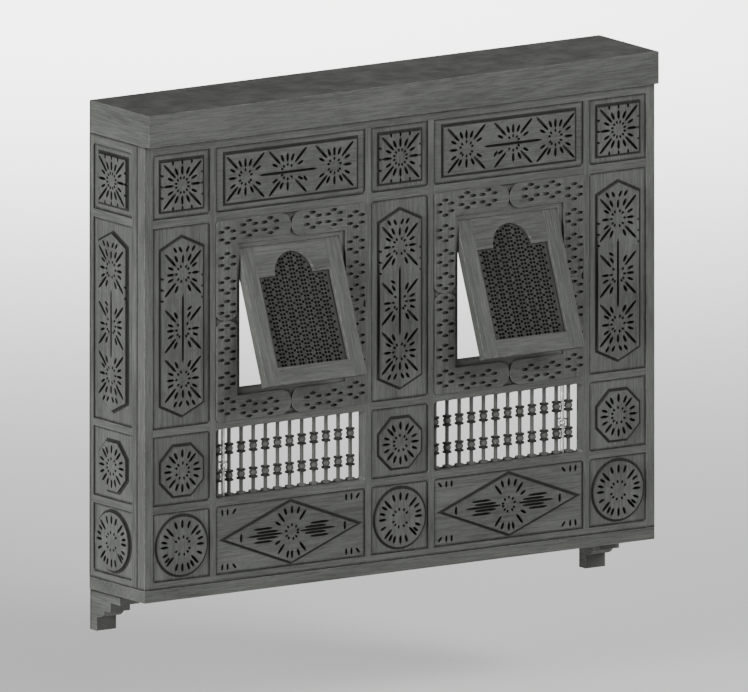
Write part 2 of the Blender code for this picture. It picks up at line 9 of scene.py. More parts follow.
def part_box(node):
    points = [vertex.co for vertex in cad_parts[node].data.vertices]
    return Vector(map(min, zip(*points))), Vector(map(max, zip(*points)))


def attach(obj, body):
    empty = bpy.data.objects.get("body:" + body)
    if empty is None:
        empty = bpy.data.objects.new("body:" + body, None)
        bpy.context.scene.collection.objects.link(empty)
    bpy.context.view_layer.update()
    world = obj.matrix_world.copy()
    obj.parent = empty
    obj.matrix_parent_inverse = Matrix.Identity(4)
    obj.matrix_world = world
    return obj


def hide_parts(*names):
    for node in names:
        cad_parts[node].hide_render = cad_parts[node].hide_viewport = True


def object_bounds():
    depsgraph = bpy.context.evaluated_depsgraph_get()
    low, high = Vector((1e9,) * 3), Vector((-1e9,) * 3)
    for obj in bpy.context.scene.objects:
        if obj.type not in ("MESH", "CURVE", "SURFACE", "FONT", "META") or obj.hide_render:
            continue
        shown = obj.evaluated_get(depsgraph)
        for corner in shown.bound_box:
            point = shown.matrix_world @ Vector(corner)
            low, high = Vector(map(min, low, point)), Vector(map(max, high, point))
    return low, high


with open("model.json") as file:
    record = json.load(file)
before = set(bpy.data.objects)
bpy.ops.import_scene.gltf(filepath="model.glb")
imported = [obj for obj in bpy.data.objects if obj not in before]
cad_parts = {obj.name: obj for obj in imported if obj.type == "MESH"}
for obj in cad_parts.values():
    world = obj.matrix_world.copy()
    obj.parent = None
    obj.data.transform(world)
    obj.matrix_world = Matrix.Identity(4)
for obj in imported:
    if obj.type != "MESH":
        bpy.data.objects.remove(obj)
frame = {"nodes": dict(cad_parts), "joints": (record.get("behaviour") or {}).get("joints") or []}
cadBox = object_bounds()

# The finish of a timber mashrabiya bay: dark stained boards, carved and pierced.
# Each board is made in a frame of its own (x across, y into the board, z up), carved
# there, and then its mesh is put where the frame says.
mm = 0.001
gap = 0.3 * mm   # kept between neighbours, as in the solids
noBorder = 9     # a half size that puts a board's borders of painted shade out of reach
bothSides = ("left", "right")
through = (-0.1, 0.2)   # the front and back of a cutter that goes right through a board
square = 0.97    # a face whose normal has no part as long as this is an arris
edgeOn = 0.2     # a face whose normal has less of y than this is a side wall
firstBoard = {   # the numbers that set the boards' figures apart
    "frontPanel": 1, "sidePanel": 31, "stile": 51, "rail": 53, "grid": 60, "sideFrame": 81, "floor": 91,
    "cornice": 93, "bracket": 95, "casing": 101, "plate": 111, "flap": 131, "baluster": 141, "rod": 171,
}
scene = bpy.context.scene


# outlines, in x and z

def rectangle(left, bottom, right, top):
    return [(left, bottom), (right, bottom), (right, top), (left, top)]


def arc(centre, radius, start, end, steps):
    points = []
    for step in range(steps + 1):
        angle = radians(start + (end - start) * step / steps)
        points.append((centre[0] + radius * cos(angle), centre[1] + radius * sin(angle)))
    return points


def rounded(left, bottom, right, top, radii, steps=6):
    # radii go bottom left, bottom right, top right, top left
    corners = [(left, bottom, 1, 1, 180), (right, bottom, -1, 1, 270),
               (right, top, -1, -1, 0), (left, top, 1, -1, 90)]
    points = []
    for (x, z, toX, toZ, start), radius in zip(corners, radii):
        if radius > 0:
            points += arc((x + toX * radius, z + toZ * radius), radius, start, start + 90, steps)
        else:
            points.append((x, z))
    return points


def regular(sides, radius, turn):
    return [(radius * cos(radians(turn + 360 * k / sides)),
             radius * sin(radians(turn + 360 * k / sides))) for k in range(sides)]


def spread(outline, distance):
    # the outline moved outward, its corners kept sharp
    moved = []
    count = len(outline)
    for k in range(count):
        before, here, after = [Vector(outline[(k + j) % count]) for j in (-1, 0, 1)]
        first, second = (here - before).normalized(), (after - here).normalized()
        outward = Vector((first.y + second.y, -first.x - second.x)).normalized()
        moved.append(here + outward * distance / max(outward.dot(Vector((first.y, -first.x))), 0.2))
    return [(point.x, point.y) for point in moved]


# boards and cutters

def newObject(name, bm):
    bmesh.ops.recalc_face_normals(bm, faces=bm.faces)
    mesh = bpy.data.meshes.new(name)
    bm.to_mesh(mesh)
    bm.free()
    thing = bpy.data.objects.new(name, mesh)
    scene.collection.objects.link(thing)
    return thing


def prism(name, outlines, front, back, wider=0, lean=0):
    bm = bmesh.new()
    for outline in outlines:
        count = len(outline)
        near = [bm.verts.new((x, front, z)) for x, z in outline]
        widened = spread(outline, wider) if wider else outline
        far = [bm.verts.new((x + lean, back, z)) for x, z in widened]
        bm.faces.new(near)
        bm.faces.new(list(reversed(far)))
        for k in range(count):
            after = (k + 1) % count
            bm.faces.new((near[k], far[k], far[after], near[after]))
    return newObject(name, bm)


def settle(thing):
    # keeps the mesh as the modifiers leave it, and drops the modifiers
    bpy.context.view_layer.update()
    result = thing.evaluated_get(bpy.context.evaluated_depsgraph_get())
    mesh = bpy.data.meshes.new_from_object(result)
    thing.modifiers.clear()
    old = thing.data
    thing.data = mesh
    bpy.data.meshes.remove(old)
    return thing


def combine(thing, other, operation):
    modifier = thing.modifiers.new(operation, "BOOLEAN")
    modifier.operation = operation
    modifier.object = other
    settle(thing)
    bpy.data.objects.remove(other, do_unlink=True)
    return thing


def soften(thing, width, segments=2, steepest=25):
    # takes the sharp off the outer edges; inner corners stay crisp
    bm = bmesh.new()
    bm.from_mesh(thing.data)
    bmesh.ops.remove_doubles(bm, verts=bm.verts, dist=1e-6)
    bmesh.ops.dissolve_limit(bm, angle_limit=radians(0.5), verts=bm.verts, edges=bm.edges)
    edges = [edge for edge in bm.edges if len(edge.link_faces) == 2 and edge.is_convex
             and edge.calc_face_angle(0) > radians(steepest)]
    bmesh.ops.bevel(bm, geom=edges, offset=width, offset_type="OFFSET", segments=segments,
                    profile=0.5, affect="EDGES", clamp_overlap=True)
    bm.to_mesh(thing.data)
    bm.free()
    return thing


def nodeCopy(node, name):
    thing = bpy.data.objects.new(name, frame["nodes"][node].data.copy())
    scene.collection.objects.link(thing)
    thing.data.materials.clear()
    return thing


def mark(thing, board, half=(noBorder, noBorder), centre=(0, 0, 0), edges="panel"):
    # what the finish reads: the board's own coordinates, how far out its borders of painted shade are,
    # its worn arrises, and a number that sets each board's figure apart
    mesh = thing.data
    for name in ("unit", "centre", "turn", "long", "wide", "full"):
        if name in mesh.attributes:
            mesh.attributes.remove(mesh.attributes[name])
    if "cut" not in mesh.attributes:
        mesh.attributes.new("cut", "FLOAT", "FACE")
    local = mesh.attributes.new("local", "FLOAT_VECTOR", "POINT")
    size = mesh.attributes.new("half", "FLOAT_VECTOR", "POINT")
    for k, vertex in enumerate(mesh.vertices):
        local.data[k].vector = vertex.co - Vector(centre)
        size.data[k].vector = (half[0], noBorder, half[1])
    edge = mesh.attributes.new("edge", "FLOAT", "FACE")
    tone = mesh.attributes.new("board", "FLOAT", "FACE")
    for k, polygon in enumerate(mesh.polygons):
        slant = max(abs(part) for part in polygon.normal) < square
        worn = (edges != "none" and edgeOn < abs(polygon.normal.y) < square) or (edges == "all" and slant)
        edge.data[k].value = 1.0 if worn else 0.0
        if worn and mesh.attributes["cut"].data[k].value > 0:
            # the flared mouth of a cut gets painted shade, not wear
            mesh.attributes["cut"].data[k].value = 0.9
            edge.data[k].value = 0.0
        tone.data[k].value = board
    return thing


def place(thing, node, matrix=None, body="screen"):
    if matrix:
        thing.data.transform(matrix)
    thing.data.update()
    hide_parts(node)
    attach(thing, body)
    return thing


# shader node groups

def nodeGroup(name, kind, inputs, outputs):
    # inputs and outputs: a socket's name and what it carries
    group = bpy.data.node_groups.new(name, kind)
    for direction, sockets in (("INPUT", inputs), ("OUTPUT", outputs)):
        for label, carries in sockets.items():
            group.interface.new_socket(name=label, in_out=direction, socket_type="NodeSocket" + carries)
    return group, group.nodes.new("NodeGroupInput").outputs, group.nodes.new("NodeGroupOutput")


def feed(node, inputs):
    # each input gets a link or a plain value
    for name, value in inputs.items():
        if isinstance(value, bpy.types.NodeSocket):
            node.id_data.links.new(value, node.inputs[name])
        else:
            node.inputs[name].default_value = value
    return node


def add(tree, kind, inputs={}, **settings):
    node = tree.nodes.new(kind)
    for name, value in settings.items():
        setattr(node, name, value)
    return feed(node, inputs)


def calc(operation, *values, clamp=False):
    # a Math node, in the tree of the first value that is linked
    tree = next(value.id_data for value in values if isinstance(value, bpy.types.NodeSocket))
    return add(tree, "ShaderNodeMath", dict(enumerate(values)),
               operation=operation, use_clamp=clamp).outputs[0]


def times(first, *others):
    for other in others:
        first = calc("MULTIPLY", first, other)
    return first


def plus(first, *others):
    for other in others:
        first = calc("ADD", first, other)
    return first


def minus(first, second, clamp=False):
    return calc("SUBTRACT", first, second, clamp=clamp)


def split(vector):
    return add(vector.id_data, "ShaderNodeSeparateXYZ", {0: vector}).outputs


def noise(vector, scale, detail, roughness=0.5, distortion=0.0):
    return add(vector.id_data, "ShaderNodeTexNoise",
               {"Vector": vector, "Scale": scale, "Detail": detail, "Roughness": roughness,
                "Distortion": distortion}).outputs["Fac"]


def remap(value, low, high, toLow=0.0, toHigh=1.0):
    return add(value.id_data, "ShaderNodeMapRange",
               {"Value": value, "From Min": low, "From Max": high, "To Min": toLow, "To Max": toHigh},
               interpolation_type="SMOOTHSTEP").outputs["Result"]


def blendColour(factor, first, second):
    first, second = [(*colour, 1) if isinstance(colour, tuple) else colour for colour in (first, second)]
    return add(factor.id_data, "ShaderNodeMix", {"Factor": factor, 6: first, 7: second},
               data_type="RGBA").outputs[2]


def bumpOf(height, strength, distance):
    return add(height.id_data, "ShaderNodeBump",
               {"Strength": strength, "Distance": distance, "Height": height}).outputs["Normal"]


figure = {   # how far each is drawn out along the grain, its noise, and the range of it that is kept
    "Streak": (0.05, (165, 7, 0.66, 0.3), (0.3, 0.72)),
    "Pore": (0.04, (760, 3, 0.6), (0.56, 0.72)),
    "Cloud": (0.3, (7, 4, 0.55), (0.3, 0.7)),
}


def makeFigureGroup():
    # long soft streaks and fine pores along z, and slow clouds of tone
    group, given, made = nodeGroup("wood figure", "ShaderNodeTree",
                                   {"Along Grain": "Vector", "Board": "Float"},
                                   {name: "Float" for name in figure})
    parts = {k: times(given["Board"], factor) for k, factor in enumerate((17.3, 9.1, 5.7))}
    offset = add(group, "ShaderNodeCombineXYZ", parts).outputs[0]
    moved = add(group, "ShaderNodeVectorMath", {0: given["Along Grain"], 1: offset}).outputs[0]
    for name, (drawnOut, pattern, kept) in figure.items():
        along = add(group, "ShaderNodeVectorMath", {0: moved, 1: (1, 1, drawnOut)}, operation="MULTIPLY")
        feed(made, {name: remap(noise(along.outputs[0], *pattern), *kept)})
    return group


def makeWearGroup():
    # worn arrises, broken up along their length
    group, given, made = nodeGroup("worn arris", "ShaderNodeTree", {"Vector": "Vector", "Edge": "Float"},
                                   {"Mask": "Float"})
    patches = remap(noise(given["Vector"], 34, 5, 0.65), 0.40, 0.66)
    feed(made, {"Mask": times(patches, given["Edge"])})
    return group


# how strong the painted shade, with some dirt, is: at a panel's edge, at a field's foot, in the cuts, and at
# most
dirtAndShadeStrength = {"ragged": 0.9, "edge": 0.75, "foot": 0.6, "cut": 0.95, "thickest": 0.92}


def makeDirtAndShadeGroup():
    # painted shade round a panel's edge, where dirt gathers too, at the foot of its raised field, and in its
    # cuts
    group, given, made = nodeGroup("dirtAndPaintedShade", "ShaderNodeTree",
                                   {"Local": "Vector", "Half": "Vector", "Cut": "Float", "Quirk": "Float",
                                    "Foot": "Float"}, {"Mask": "Float"})
    here, span = split(given["Local"]), split(given["Half"])
    ragged = times(noise(given["Local"], 30, 4, 0.6), dirtAndShadeStrength["ragged"])
    insetX, insetZ = [minus(span[k], calc("ABSOLUTE", here[k])) for k in (0, 2)]
    inset = calc("DIVIDE", calc("MINIMUM", insetX, insetZ), given["Quirk"])
    nearEdge = minus(plus(ragged, dirtAndShadeStrength["edge"]), inset, clamp=True)
    rise = calc("DIVIDE", times(here[1], -1), given["Foot"])
    started = remap(rise, 0.001, 0.012)
    nearFoot = times(started, minus(plus(ragged, dirtAndShadeStrength["foot"]), rise, clamp=True))
    mask = calc("MAXIMUM", nearEdge, calc("MAXIMUM", nearFoot, times(given["Cut"], dirtAndShadeStrength["cut"])))
    feed(made, {"Mask": times(mask, dirtAndShadeStrength["thickest"])})
    return group


figureGroup = makeFigureGroup()
wearGroup = makeWearGroup()
dirtAndShadeGroup = makeDirtAndShadeGroup()


def attribute(tree, name, output="Fac"):
    return add(tree, "ShaderNodeAttribute", attribute_name=name).outputs[output]


def newMaterial(name):
    material = bpy.data.materials.new(name)
    material.use_nodes = True
    return material, material.node_tree, material.node_tree.nodes["Principled BSDF"]


stain = {
    "dark": (0.036, 0.0375, 0.0345),
    "light": (0.084, 0.087, 0.080),
    "worn": (0.19, 0.19, 0.172),
    # the near-black of painted shade and dirt, also laid in the pores
    "dirtAndPaintedShade": (0.008, 0.008, 0.0075),
    "dust": (0.155, 0.155, 0.145),
    "smooth": 0.52,
    "rough": 0.74,
    "quirk": 10 * mm,   # how far the painted shade and dirt reach in from a panel's edge
    "foot": 12 * mm,    # and up the side of a raised field
}


def stainedTimber(name, grain):
    material, tree, shader = newMaterial(name)
    local = attribute(tree, "local", "Vector")
    cut = attribute(tree, "cut")
    turns = {"z": (0, 0, 0), "x": (0, radians(90), 0), "y": (radians(90), 0, 0)}
    turned = add(tree, "ShaderNodeMapping", {"Rotation": turns[grain], "Vector": local}).outputs[0]
    wood = add(tree, "ShaderNodeGroup", {"Along Grain": turned, "Board": attribute(tree, "board")},
               node_tree=figureGroup).outputs
    # the mask of painted shade, with some dirt, at edges, feet and cuts
    dirtAndPaintedShade = add(tree, "ShaderNodeGroup",
                {"Local": local, "Half": attribute(tree, "half", "Vector"), "Cut": cut,
                 "Quirk": stain["quirk"], "Foot": stain["foot"]}, node_tree=dirtAndShadeGroup).outputs["Mask"]
    wear = add(tree, "ShaderNodeGroup", {"Vector": local, "Edge": attribute(tree, "edge")},
               node_tree=wearGroup).outputs["Mask"]
    # dust lies on what faces up, in patches, and not in the cuts
    up = split(add(tree, "ShaderNodeNewGeometry").outputs["Normal"])[2]
    patches = remap(noise(local, 9, 5, 0.6), 0.35, 0.7, 0.3, 0.8)
    dust = times(remap(up, 0.6, 1.0), patches, minus(1, cut, clamp=True))
    tone = plus(times(wood["Streak"], 0.6), times(wood["Cloud"], 0.4))
    colour = blendColour(tone, stain["dark"], stain["light"])
    # pores, then painted shade and dirt, then worn arrises, then dust
    for mask, laid in ((times(wood["Pore"], 0.55), "dirtAndPaintedShade"), (dirtAndPaintedShade, "dirtAndPaintedShade"),
                       (times(wear, 0.45), "worn"), (dust, "dust")):
        colour = blendColour(mask, colour, stain[laid])
    roughness = remap(wood["Streak"], 0, 1, stain["rough"], stain["smooth"])
    height = minus(times(wood["Streak"], 0.5), wood["Pore"])
    feed(shader, {"Base Color": colour, "Roughness": roughness, "Specular IOR Level": 0.15,
                  "Normal": bumpOf(height, 0.5, 0.3 * mm)})
    return material


uprightTimber = stainedTimber("stained timber, upright grain", "z")
levelTimber = stainedTimber("stained timber, level grain", "x")
crossTimber = stainedTimber("stained timber, grain toward the wall", "y")
turnedTimber = stainedTimber("stained turned timber", "z")


def makeTinnedIron():
    look = {"bright": (0.62, 0.62, 0.60), "dull": (0.36, 0.355, 0.34)}
    material, tree, shader = newMaterial("tinned iron")
    local = attribute(tree, "local", "Vector")
    tarnish = remap(noise(local, 42, 6, 0.62), 0.35, 0.68)
    feed(shader, {"Base Color": blendColour(tarnish, look["bright"], look["dull"]), "Metallic": 1.0,
                  "Roughness": remap(tarnish, 0, 1, 0.30, 0.55),
                  "Normal": bumpOf(noise(local, 210, 4, 0.6), 0.3, 0.15 * mm)})
    return material


tinnedIron = makeTinnedIron()


# geometry nodes

def field(tree, name, carries="FLOAT"):
    return add(tree, "GeometryNodeInputNamedAttribute", {"Name": name}, data_type=carries).outputs[0]


def store(geometry, name, value, carries="FLOAT_VECTOR", domain="POINT"):
    return add(geometry.id_data, "GeometryNodeStoreNamedAttribute",
               {"Geometry": geometry, "Name": name, "Value": value},
               data_type=carries, domain=domain).outputs["Geometry"]


def finishTree(geometry, material, made):
    tree = geometry.id_data
    whole = add(tree, "GeometryNodeRealizeInstances", {0: geometry}).outputs[0]
    dressed = add(tree, "GeometryNodeSetMaterial", {"Geometry": whole, "Material": material}).outputs[0]
    feed(made, {"Geometry": dressed})
    return tree


def makeCarveTree():
    # cuts a leaf through the board at every point of Cuts. A point's turn, long, wide and full
    # shape its leaf; full is how blunt it is. Flare chamfers both mouths of each cut.
    tree, given, made = nodeGroup("carve", "GeometryNodeTree",
                                  {"Geometry": "Geometry", "Cuts": "Object", "Front": "Float",
                                   "Back": "Float", "Flare": "Float", "Sides": "Int",
                                   "Material": "Material"},
                                  {"Geometry": "Geometry"})
    source = add(tree, "GeometryNodeObjectInfo", {"Object": given["Cuts"]}).outputs["Geometry"]
    position = add(tree, "GeometryNodeInputPosition").outputs[0]
    rod = add(tree, "GeometryNodeMeshCylinder",
              {"Vertices": given["Sides"], "Side Segments": 3, "Radius": 1, "Depth": 3}).outputs["Mesh"]
    copies = add(tree, "GeometryNodeInstanceOnPoints",
                 {"Points": store(source, "centre", position), "Instance": store(rod, "unit", position)})
    real = add(tree, "GeometryNodeRealizeInstances", {0: copies.outputs[0]}).outputs[0]

    unit, centre = [split(field(tree, name, "FLOAT_VECTOR")) for name in ("unit", "centre")]
    turn, long, wide, full = [field(tree, name) for name in ("turn", "long", "wide", "full")]
    level = unit[2]  # -1.5 and -0.5 are the front mouth, 0.5 and 1.5 the back one
    isBack = calc("GREATER_THAN", level, 0)
    isMouth = calc("GREATER_THAN", calc("ABSOLUTE", level), 1)
    outward = minus(times(isMouth, 2), 1)
    step = times(outward, calc("SIGN", level), given["Flare"])
    depth = plus(given["Front"], times(isBack, minus(given["Back"], given["Front"])), step)
    extra = times(isMouth, given["Flare"], 2)
    halfLong, halfWide = [plus(times(size, 0.5), extra) for size in (long, wide)]
    along = times(unit[0], halfLong)
    swell = minus(1, calc("POWER", calc("ABSOLUTE", unit[0]), full))
    across = times(calc("SIGN", unit[1]), -1, times(swell, halfWide))
    cosine, sine = calc("COSINE", turn), calc("SINE", turn)
    x = plus(minus(times(along, cosine), times(across, sine)), centre[0])
    z = plus(times(along, sine), times(across, cosine), centre[2])
    target = add(tree, "ShaderNodeCombineXYZ", {0: x, 1: depth, 2: z}).outputs[0]
    shaped = add(tree, "GeometryNodeSetPosition", {"Geometry": real, "Position": target}).outputs[0]
    # the cutters' faces become the cut's walls, marked for painted shade
    cutters = store(shaped, "cut", 1.0, "FLOAT", "FACE")
    cut = add(tree, "GeometryNodeMeshBoolean",
              {"Self Intersection": True, "Mesh 1": given["Geometry"], "Mesh 2": cutters},
              operation="DIFFERENCE", solver="EXACT")
    return finishTree(cut.outputs["Mesh"], given["Material"], made)


def makeRowTree():
    # a row of one turned piece
    tree, given, made = nodeGroup("turned row", "GeometryNodeTree",
                                  {"Geometry": "Geometry", "Count": "Int", "Pitch": "Vector",
                                   "Start": "Vector", "Material": "Material"},
                                  {"Geometry": "Geometry"})
    line = add(tree, "GeometryNodeMeshLine",
               {"Count": given["Count"], "Offset": given["Pitch"], "Start Location": given["Start"]})
    copies = add(tree, "GeometryNodeInstanceOnPoints",
                 {"Points": line.outputs[0], "Instance": given["Geometry"]})
    return finishTree(copies.outputs[0], given["Material"], made)


carveTree = makeCarveTree()
rowTree = makeRowTree()


def runTree(thing, tree, **values):
    modifier = thing.modifiers.new(tree.name, "NODES")
    modifier.node_group = tree
    sockets = {item.name: item.identifier for item in tree.interface.items_tree
               if item.in_out == "INPUT"}
    for name, value in values.items():
        modifier[sockets[name]] = value
    return settle(thing)


def carve(thing, cuts, front, back, material, flare=1.3 * mm, sides=12):
    # cuts: x, z, turn in degrees, length, width, bluntness
    mesh = bpy.data.meshes.new("cuts")
    mesh.from_pydata([(cut[0], 0, cut[1]) for cut in cuts], [], [])
    for k, name in enumerate(("turn", "long", "wide", "full")):
        layer = mesh.attributes.new(name, "FLOAT", "POINT")
        for j, cut in enumerate(cuts):
            layer.data[j].value = radians(cut[2]) if name == "turn" else cut[2 + k]
    points = bpy.data.objects.new("cuts", mesh)
    scene.collection.objects.link(points)
    runTree(thing, carveTree, Cuts=points, Front=front, Back=back, Flare=flare, Sides=sides,
            Material=material)
    bpy.data.objects.remove(points, do_unlink=True)
    return thing


def ray(centre, angle, near, far, wide, full=4.0):
    # a leaf that lies along a ray from a rosette's centre, in millimetres
    middle, turn = (near + far) / 2, radians(angle)
    return ((centre[0] + middle * cos(turn)) * mm, (centre[1] + middle * sin(turn)) * mm,
            angle, (far - near) * mm, wide * mm, full)


def rays(centre, angles, near, far, wide, full=4.0):
    return [ray(centre, angle, near, far, wide, full) for angle in angles]


def petals(centre, angles, near, far):
    # the flatter ones are shorter and slimmer, so that no light comes straight through the board
    middle = (near + far) / 2
    made = []
    for angle in angles:
        isFlat = abs(sin(radians(angle))) < 0.65
        half, wide = (15, 9.4) if isFlat else ((far - near) / 2, 11.4)
        made.append(ray(centre, angle, middle - half, middle + half, wide))
    return made


def rosette(middle, *cuts):
    # cuts: angles, near, far, and for rays their width and bluntness; without a width they're petals
    leaves = []
    for angles, near, far, *shape in cuts:
        leaves += (rays if shape else petals)(middle, angles, near, far, *shape)
    return leaves


def mirror(leaves):
    return [(-x, z, 180 - angle, *rest) for x, z, angle, *rest in leaves]


print("materials and trees ready")


# carved panels

panelBoard = {
    "thick": 30 * mm, "fieldProud": 12 * mm,
    "arris": 0.8 * mm, "boardArris": 1.6 * mm,
    "sideStart": 1.5 * mm,    # the sides of the raised field, from this far out, get painted shade and are less worn
    "sideShade": 0.6,          # hold dirt and are less worn
    "sideWear": 0.3,
    "footStart": -2.5 * mm,   # a shallow fillet round the field, from under its edge, that carries painted shade
    "footEnd": 14 * mm,
    "footRise": 0.9 * mm,
    "footSink": 0.05 * mm,
    "footLean": 3.5 * mm,     # the front panels' fillets, and their painted shade, reach farther to the right, where a field's shadow falls
    "notchFlare": 0.05 * mm,
}
diagonals = (45, 135, 225, 315)
longLeaf = 7.0   # bluntness of the long, nearly parallel cuts
dash = 5.0       # bluntness of the small cuts round a rosette's hub
slit = 14        # bluntness of the slits, which are almost straight bars


def squareField():
    besideAxes = [quarter + side for quarter in (0, 90, 180, 270) for side in (-26, 26)]
    leaves = rosette((0, 0), (diagonals, 45, 131, 10.5, longLeaf), ((90, 270), 43, 81, 11.4, 5),
                     ((0, 180), 42, 90, 9.8, 5), (besideAxes, 47, 82),
                     ([15 + 30 * k for k in range(12)], 25, 37, 7.2, dash))
    notches = []
    for along in (-46, 0, 46):
        notches += [ray((along, side * 100), 90, -16, 16, 10) for side in (-1, 1)]
        notches += [ray((side * 100, along), 0, -10, 10, 10) for side in (-1, 1)]
    return rectangle(-0.1, -0.1, 0.1, 0.1), leaves, notches


def octagonField():
    middle = (0, -6)
    leaves = rosette(middle, (diagonals, 46, 93, 10.5, 5), ((90, 270), 54, 89, 11.4), ((0, 180), 51, 90, 9.6),
                     ((117, 62, 248, 293), 54, 87), ((160, 19, 201, 338), 56, 88),
                     ((158, 128, 85, 46, 16, -15, -43, -75, -116, -154), 26, 38, 7.6, dash))
    outline = [(x, z + middle[1] * mm) for x, z in regular(8, 0.1 / cos(pi / 8), 22.5)]
    return outline, leaves, []


def discField():
    leaves = rosette((0, 0), (diagonals, 60, 112, 10.5, 5), ((90, 270), 72, 107, 11.4),
                     ((0, 180), 69, 107, 9.6),
                     ((15, 31, 69, 110, 151, 167, 202, 216, 252, 289, 302, 337), 75, 107),
                     ((148, 118, 81, 49, 24, -20, -45, -76, -116, -144), 31, 43, 7.6, dash))
    return regular(72, 0.12, 0), leaves, []


def hexagonField():
    tip, shoulder, half = 366, 319, 100
    leaves = [ray((3, -8), 90, -145, 145, 9, slit)]
    for level, toward in ((-218, -1), (-13, 0), (218, 1)):
        middle = (3, level)
        leaves += rosette(middle, (diagonals, 48, 125, 10.5, longLeaf), ((0, 180), 43, 79, 9.8))
        if toward == 0:
            leaves += rosette(middle, ((119, 240, 297), 55, 87), ((160, 202, 338), 50, 80))
            leaves += [ray((33, level + 60), 55, -14, 14, 10), ray((36, level + 86), 32, -13, 13, 9.4)]
            leaves += rays(middle, (139, 46, 180, 0, 215, 323, 238, 300), 26, 38, 7.6, dash)
        else:
            leaves += rosette(middle, ((toward * 90,), 43, 78, 10.5), ((toward * 117, toward * 63), 56, 88),
                              ((-toward * 63, -toward * 117), 53, 85), ((156, 30, 201, 331), 50, 80))
            leaves += [ray((x, level + toward * 101), toward * lean, -13.5, 13.5, 10.4)
                       for x, lean in ((-35, 125), (-9, 122), (26, 58), (55, 55))]
            leaves += rays(middle, (108, 62, 137, 35, 180, 0, 223, 325, 255, 300), 26, 38, 7.6, dash)
    notches = [ray((side * 100, level), 0, -10, 10, 10) for side in (-1, 1) for level in (205, 159, 113)]
    outline = [(0, -tip), (half, -shoulder), (half, shoulder), (0, tip),
               (-half, shoulder), (-half, -shoulder)]
    return [(x * mm, z * mm) for x, z in outline], leaves, notches


def rectangleField():
    leaves = [ray((-16, -1), 0, -144, 144, 9, slit)]
    for centre in (-225, -18, 211):
        middle = (centre, 0)
        leaves += rosette(middle, (diagonals, 50, 131, 10.5, longLeaf), ((90, 270), 41, 78, 11),
                          ((114, 67, 241), 47, 79), ((153, 27, 208, 333), 55, 85))
        if centre == -18:
            leaves.append(ray((centre + 86, -36), -52, -14, 14, 9.6))
            leaves += rays(middle, (154, 128, 90, 51, 205, 232, 270, 310), 24, 36, 7.6, dash)
        else:
            leaves += rosette(middle, ((300,), 47, 79), ((180 if centre < 0 else 0,), 43, 84, 9.8),
                              ((162, 134, 90, 45, 15, 330, 205, 232, 270, 308), 24, 36, 7.6, dash))
    return rectangle(-0.32, -0.1, 0.32, 0.1), leaves, []


def diamondField():
    leaves = rosette((3, 0), ((51, 129, 231, 309), 58, 109, 10.5, 5), ((90, 270), 75, 108, 11),
                     ((70, 110, 257, 290), 77, 108), ((149, 208), 64, 96),
                     ((131, 90, 47, 168, 209, 236, 284, 316, 11, 349), 23, 35, 7.6, dash))
    for side in (0, 180):
        leaves += rays((0, 0), (side,), 42, 215, 8.4, longLeaf)
        for level, near, far in ((12.5, 64, 171), (27, 92, 184)):
            leaves += [ray((0, up * level), side, near, far, 8.6, longLeaf) for up in (-1, 1)]
    leaves += [ray((x, 0), 90, -18, 18, 11) for x in (-246, 262)]
    for x, lean in ((-331, 96), (-305, 90), (-272, 50), (276, 90), (302, 90), (333, 50)):
        leaves += [ray((x, up * 113), up * lean, -14.5, 14.5, 10.6) for up in (-1, 1)]
    return [(0, -0.123), (0.32, 0), (0, 0.123), (-0.32, 0)], leaves, []


fields = {"square": squareField, "octagon": octagonField, "disc": discField,
          "hexagon": hexagonField, "rectangle": rectangleField, "diamond": diamondField}


def carvedPanel(name, wide, tall, radii, kind, material, board, turned, lean=0):
    radii = [max(radius - gap, 0) for radius in radii]
    thick, proud = panelBoard["thick"], panelBoard["fieldProud"]
    panel = prism(name, [rounded(-wide / 2, -tall / 2, wide / 2, tall / 2, radii)], 0, thick)
    soften(panel, panelBoard["boardArris"], steepest=40)
    outline, leaves, notches = fields[kind]()
    if turned:
        leaves = mirror(leaves)
    raised = prism("raised", [outline], -proud, thick / 2)
    soften(raised, panelBoard["arris"], steepest=40)
    combine(panel, raised, "UNION")
    start = panelBoard["footStart"]
    foot = prism("foot", [spread(outline, start)], -panelBoard["footRise"], panelBoard["footSink"],
                 wider=panelBoard["footEnd"] - start, lean=lean)
    combine(panel, foot, "UNION")
    if notches:
        carve(panel, notches, -proud, -gap, material, flare=panelBoard["notchFlare"])
    carve(panel, leaves, -proud, thick, material)
    # painted shade, with some dirt, in a border round the panel's edge
    mark(panel, board, (wide / 2, tall / 2))
    # the sides of the raised field get painted shade and less wear
    shadeLevels, worn = panel.data.attributes["cut"].data, panel.data.attributes["edge"].data
    for k, polygon in enumerate(panel.data.polygons):
        if polygon.center.y < -panelBoard["sideStart"] and abs(polygon.normal.y) < square:
            shadeLevels[k].value = max(shadeLevels[k].value, panelBoard["sideShade"])
            worn[k].value *= panelBoard["sideWear"]
    return panel


# what stands where: columns and rows of openings, read from the panels

def opening(node):
    low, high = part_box(node)
    return low.x - gap, low.z - gap, high.x + gap, high.z + gap


def middleOf(node, y):
    low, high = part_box(node)
    return Vector(((low.x + high.x) / 2, y, (low.z + high.z) / 2))


columnNames = ("left", "window_left", "middle", "window_right", "right")
rowNames = ("disc", "octagon", "hexagon", "square")
wideNames = {"disc": "diamond", "square": "rectangle"}   # the window columns' panels in those rows
windowColumns = {"left": 1, "right": 3}
cornerRadius = 14 * mm
columns = []
for number, name in enumerate(columnNames):
    kind = "diamond" if number in windowColumns.values() else "disc"
    columns.append(opening(f"front_{kind}_panel_{name}")[0::2])
rows = [opening(f"front_{name}_panel_left")[1::2] for name in rowNames]


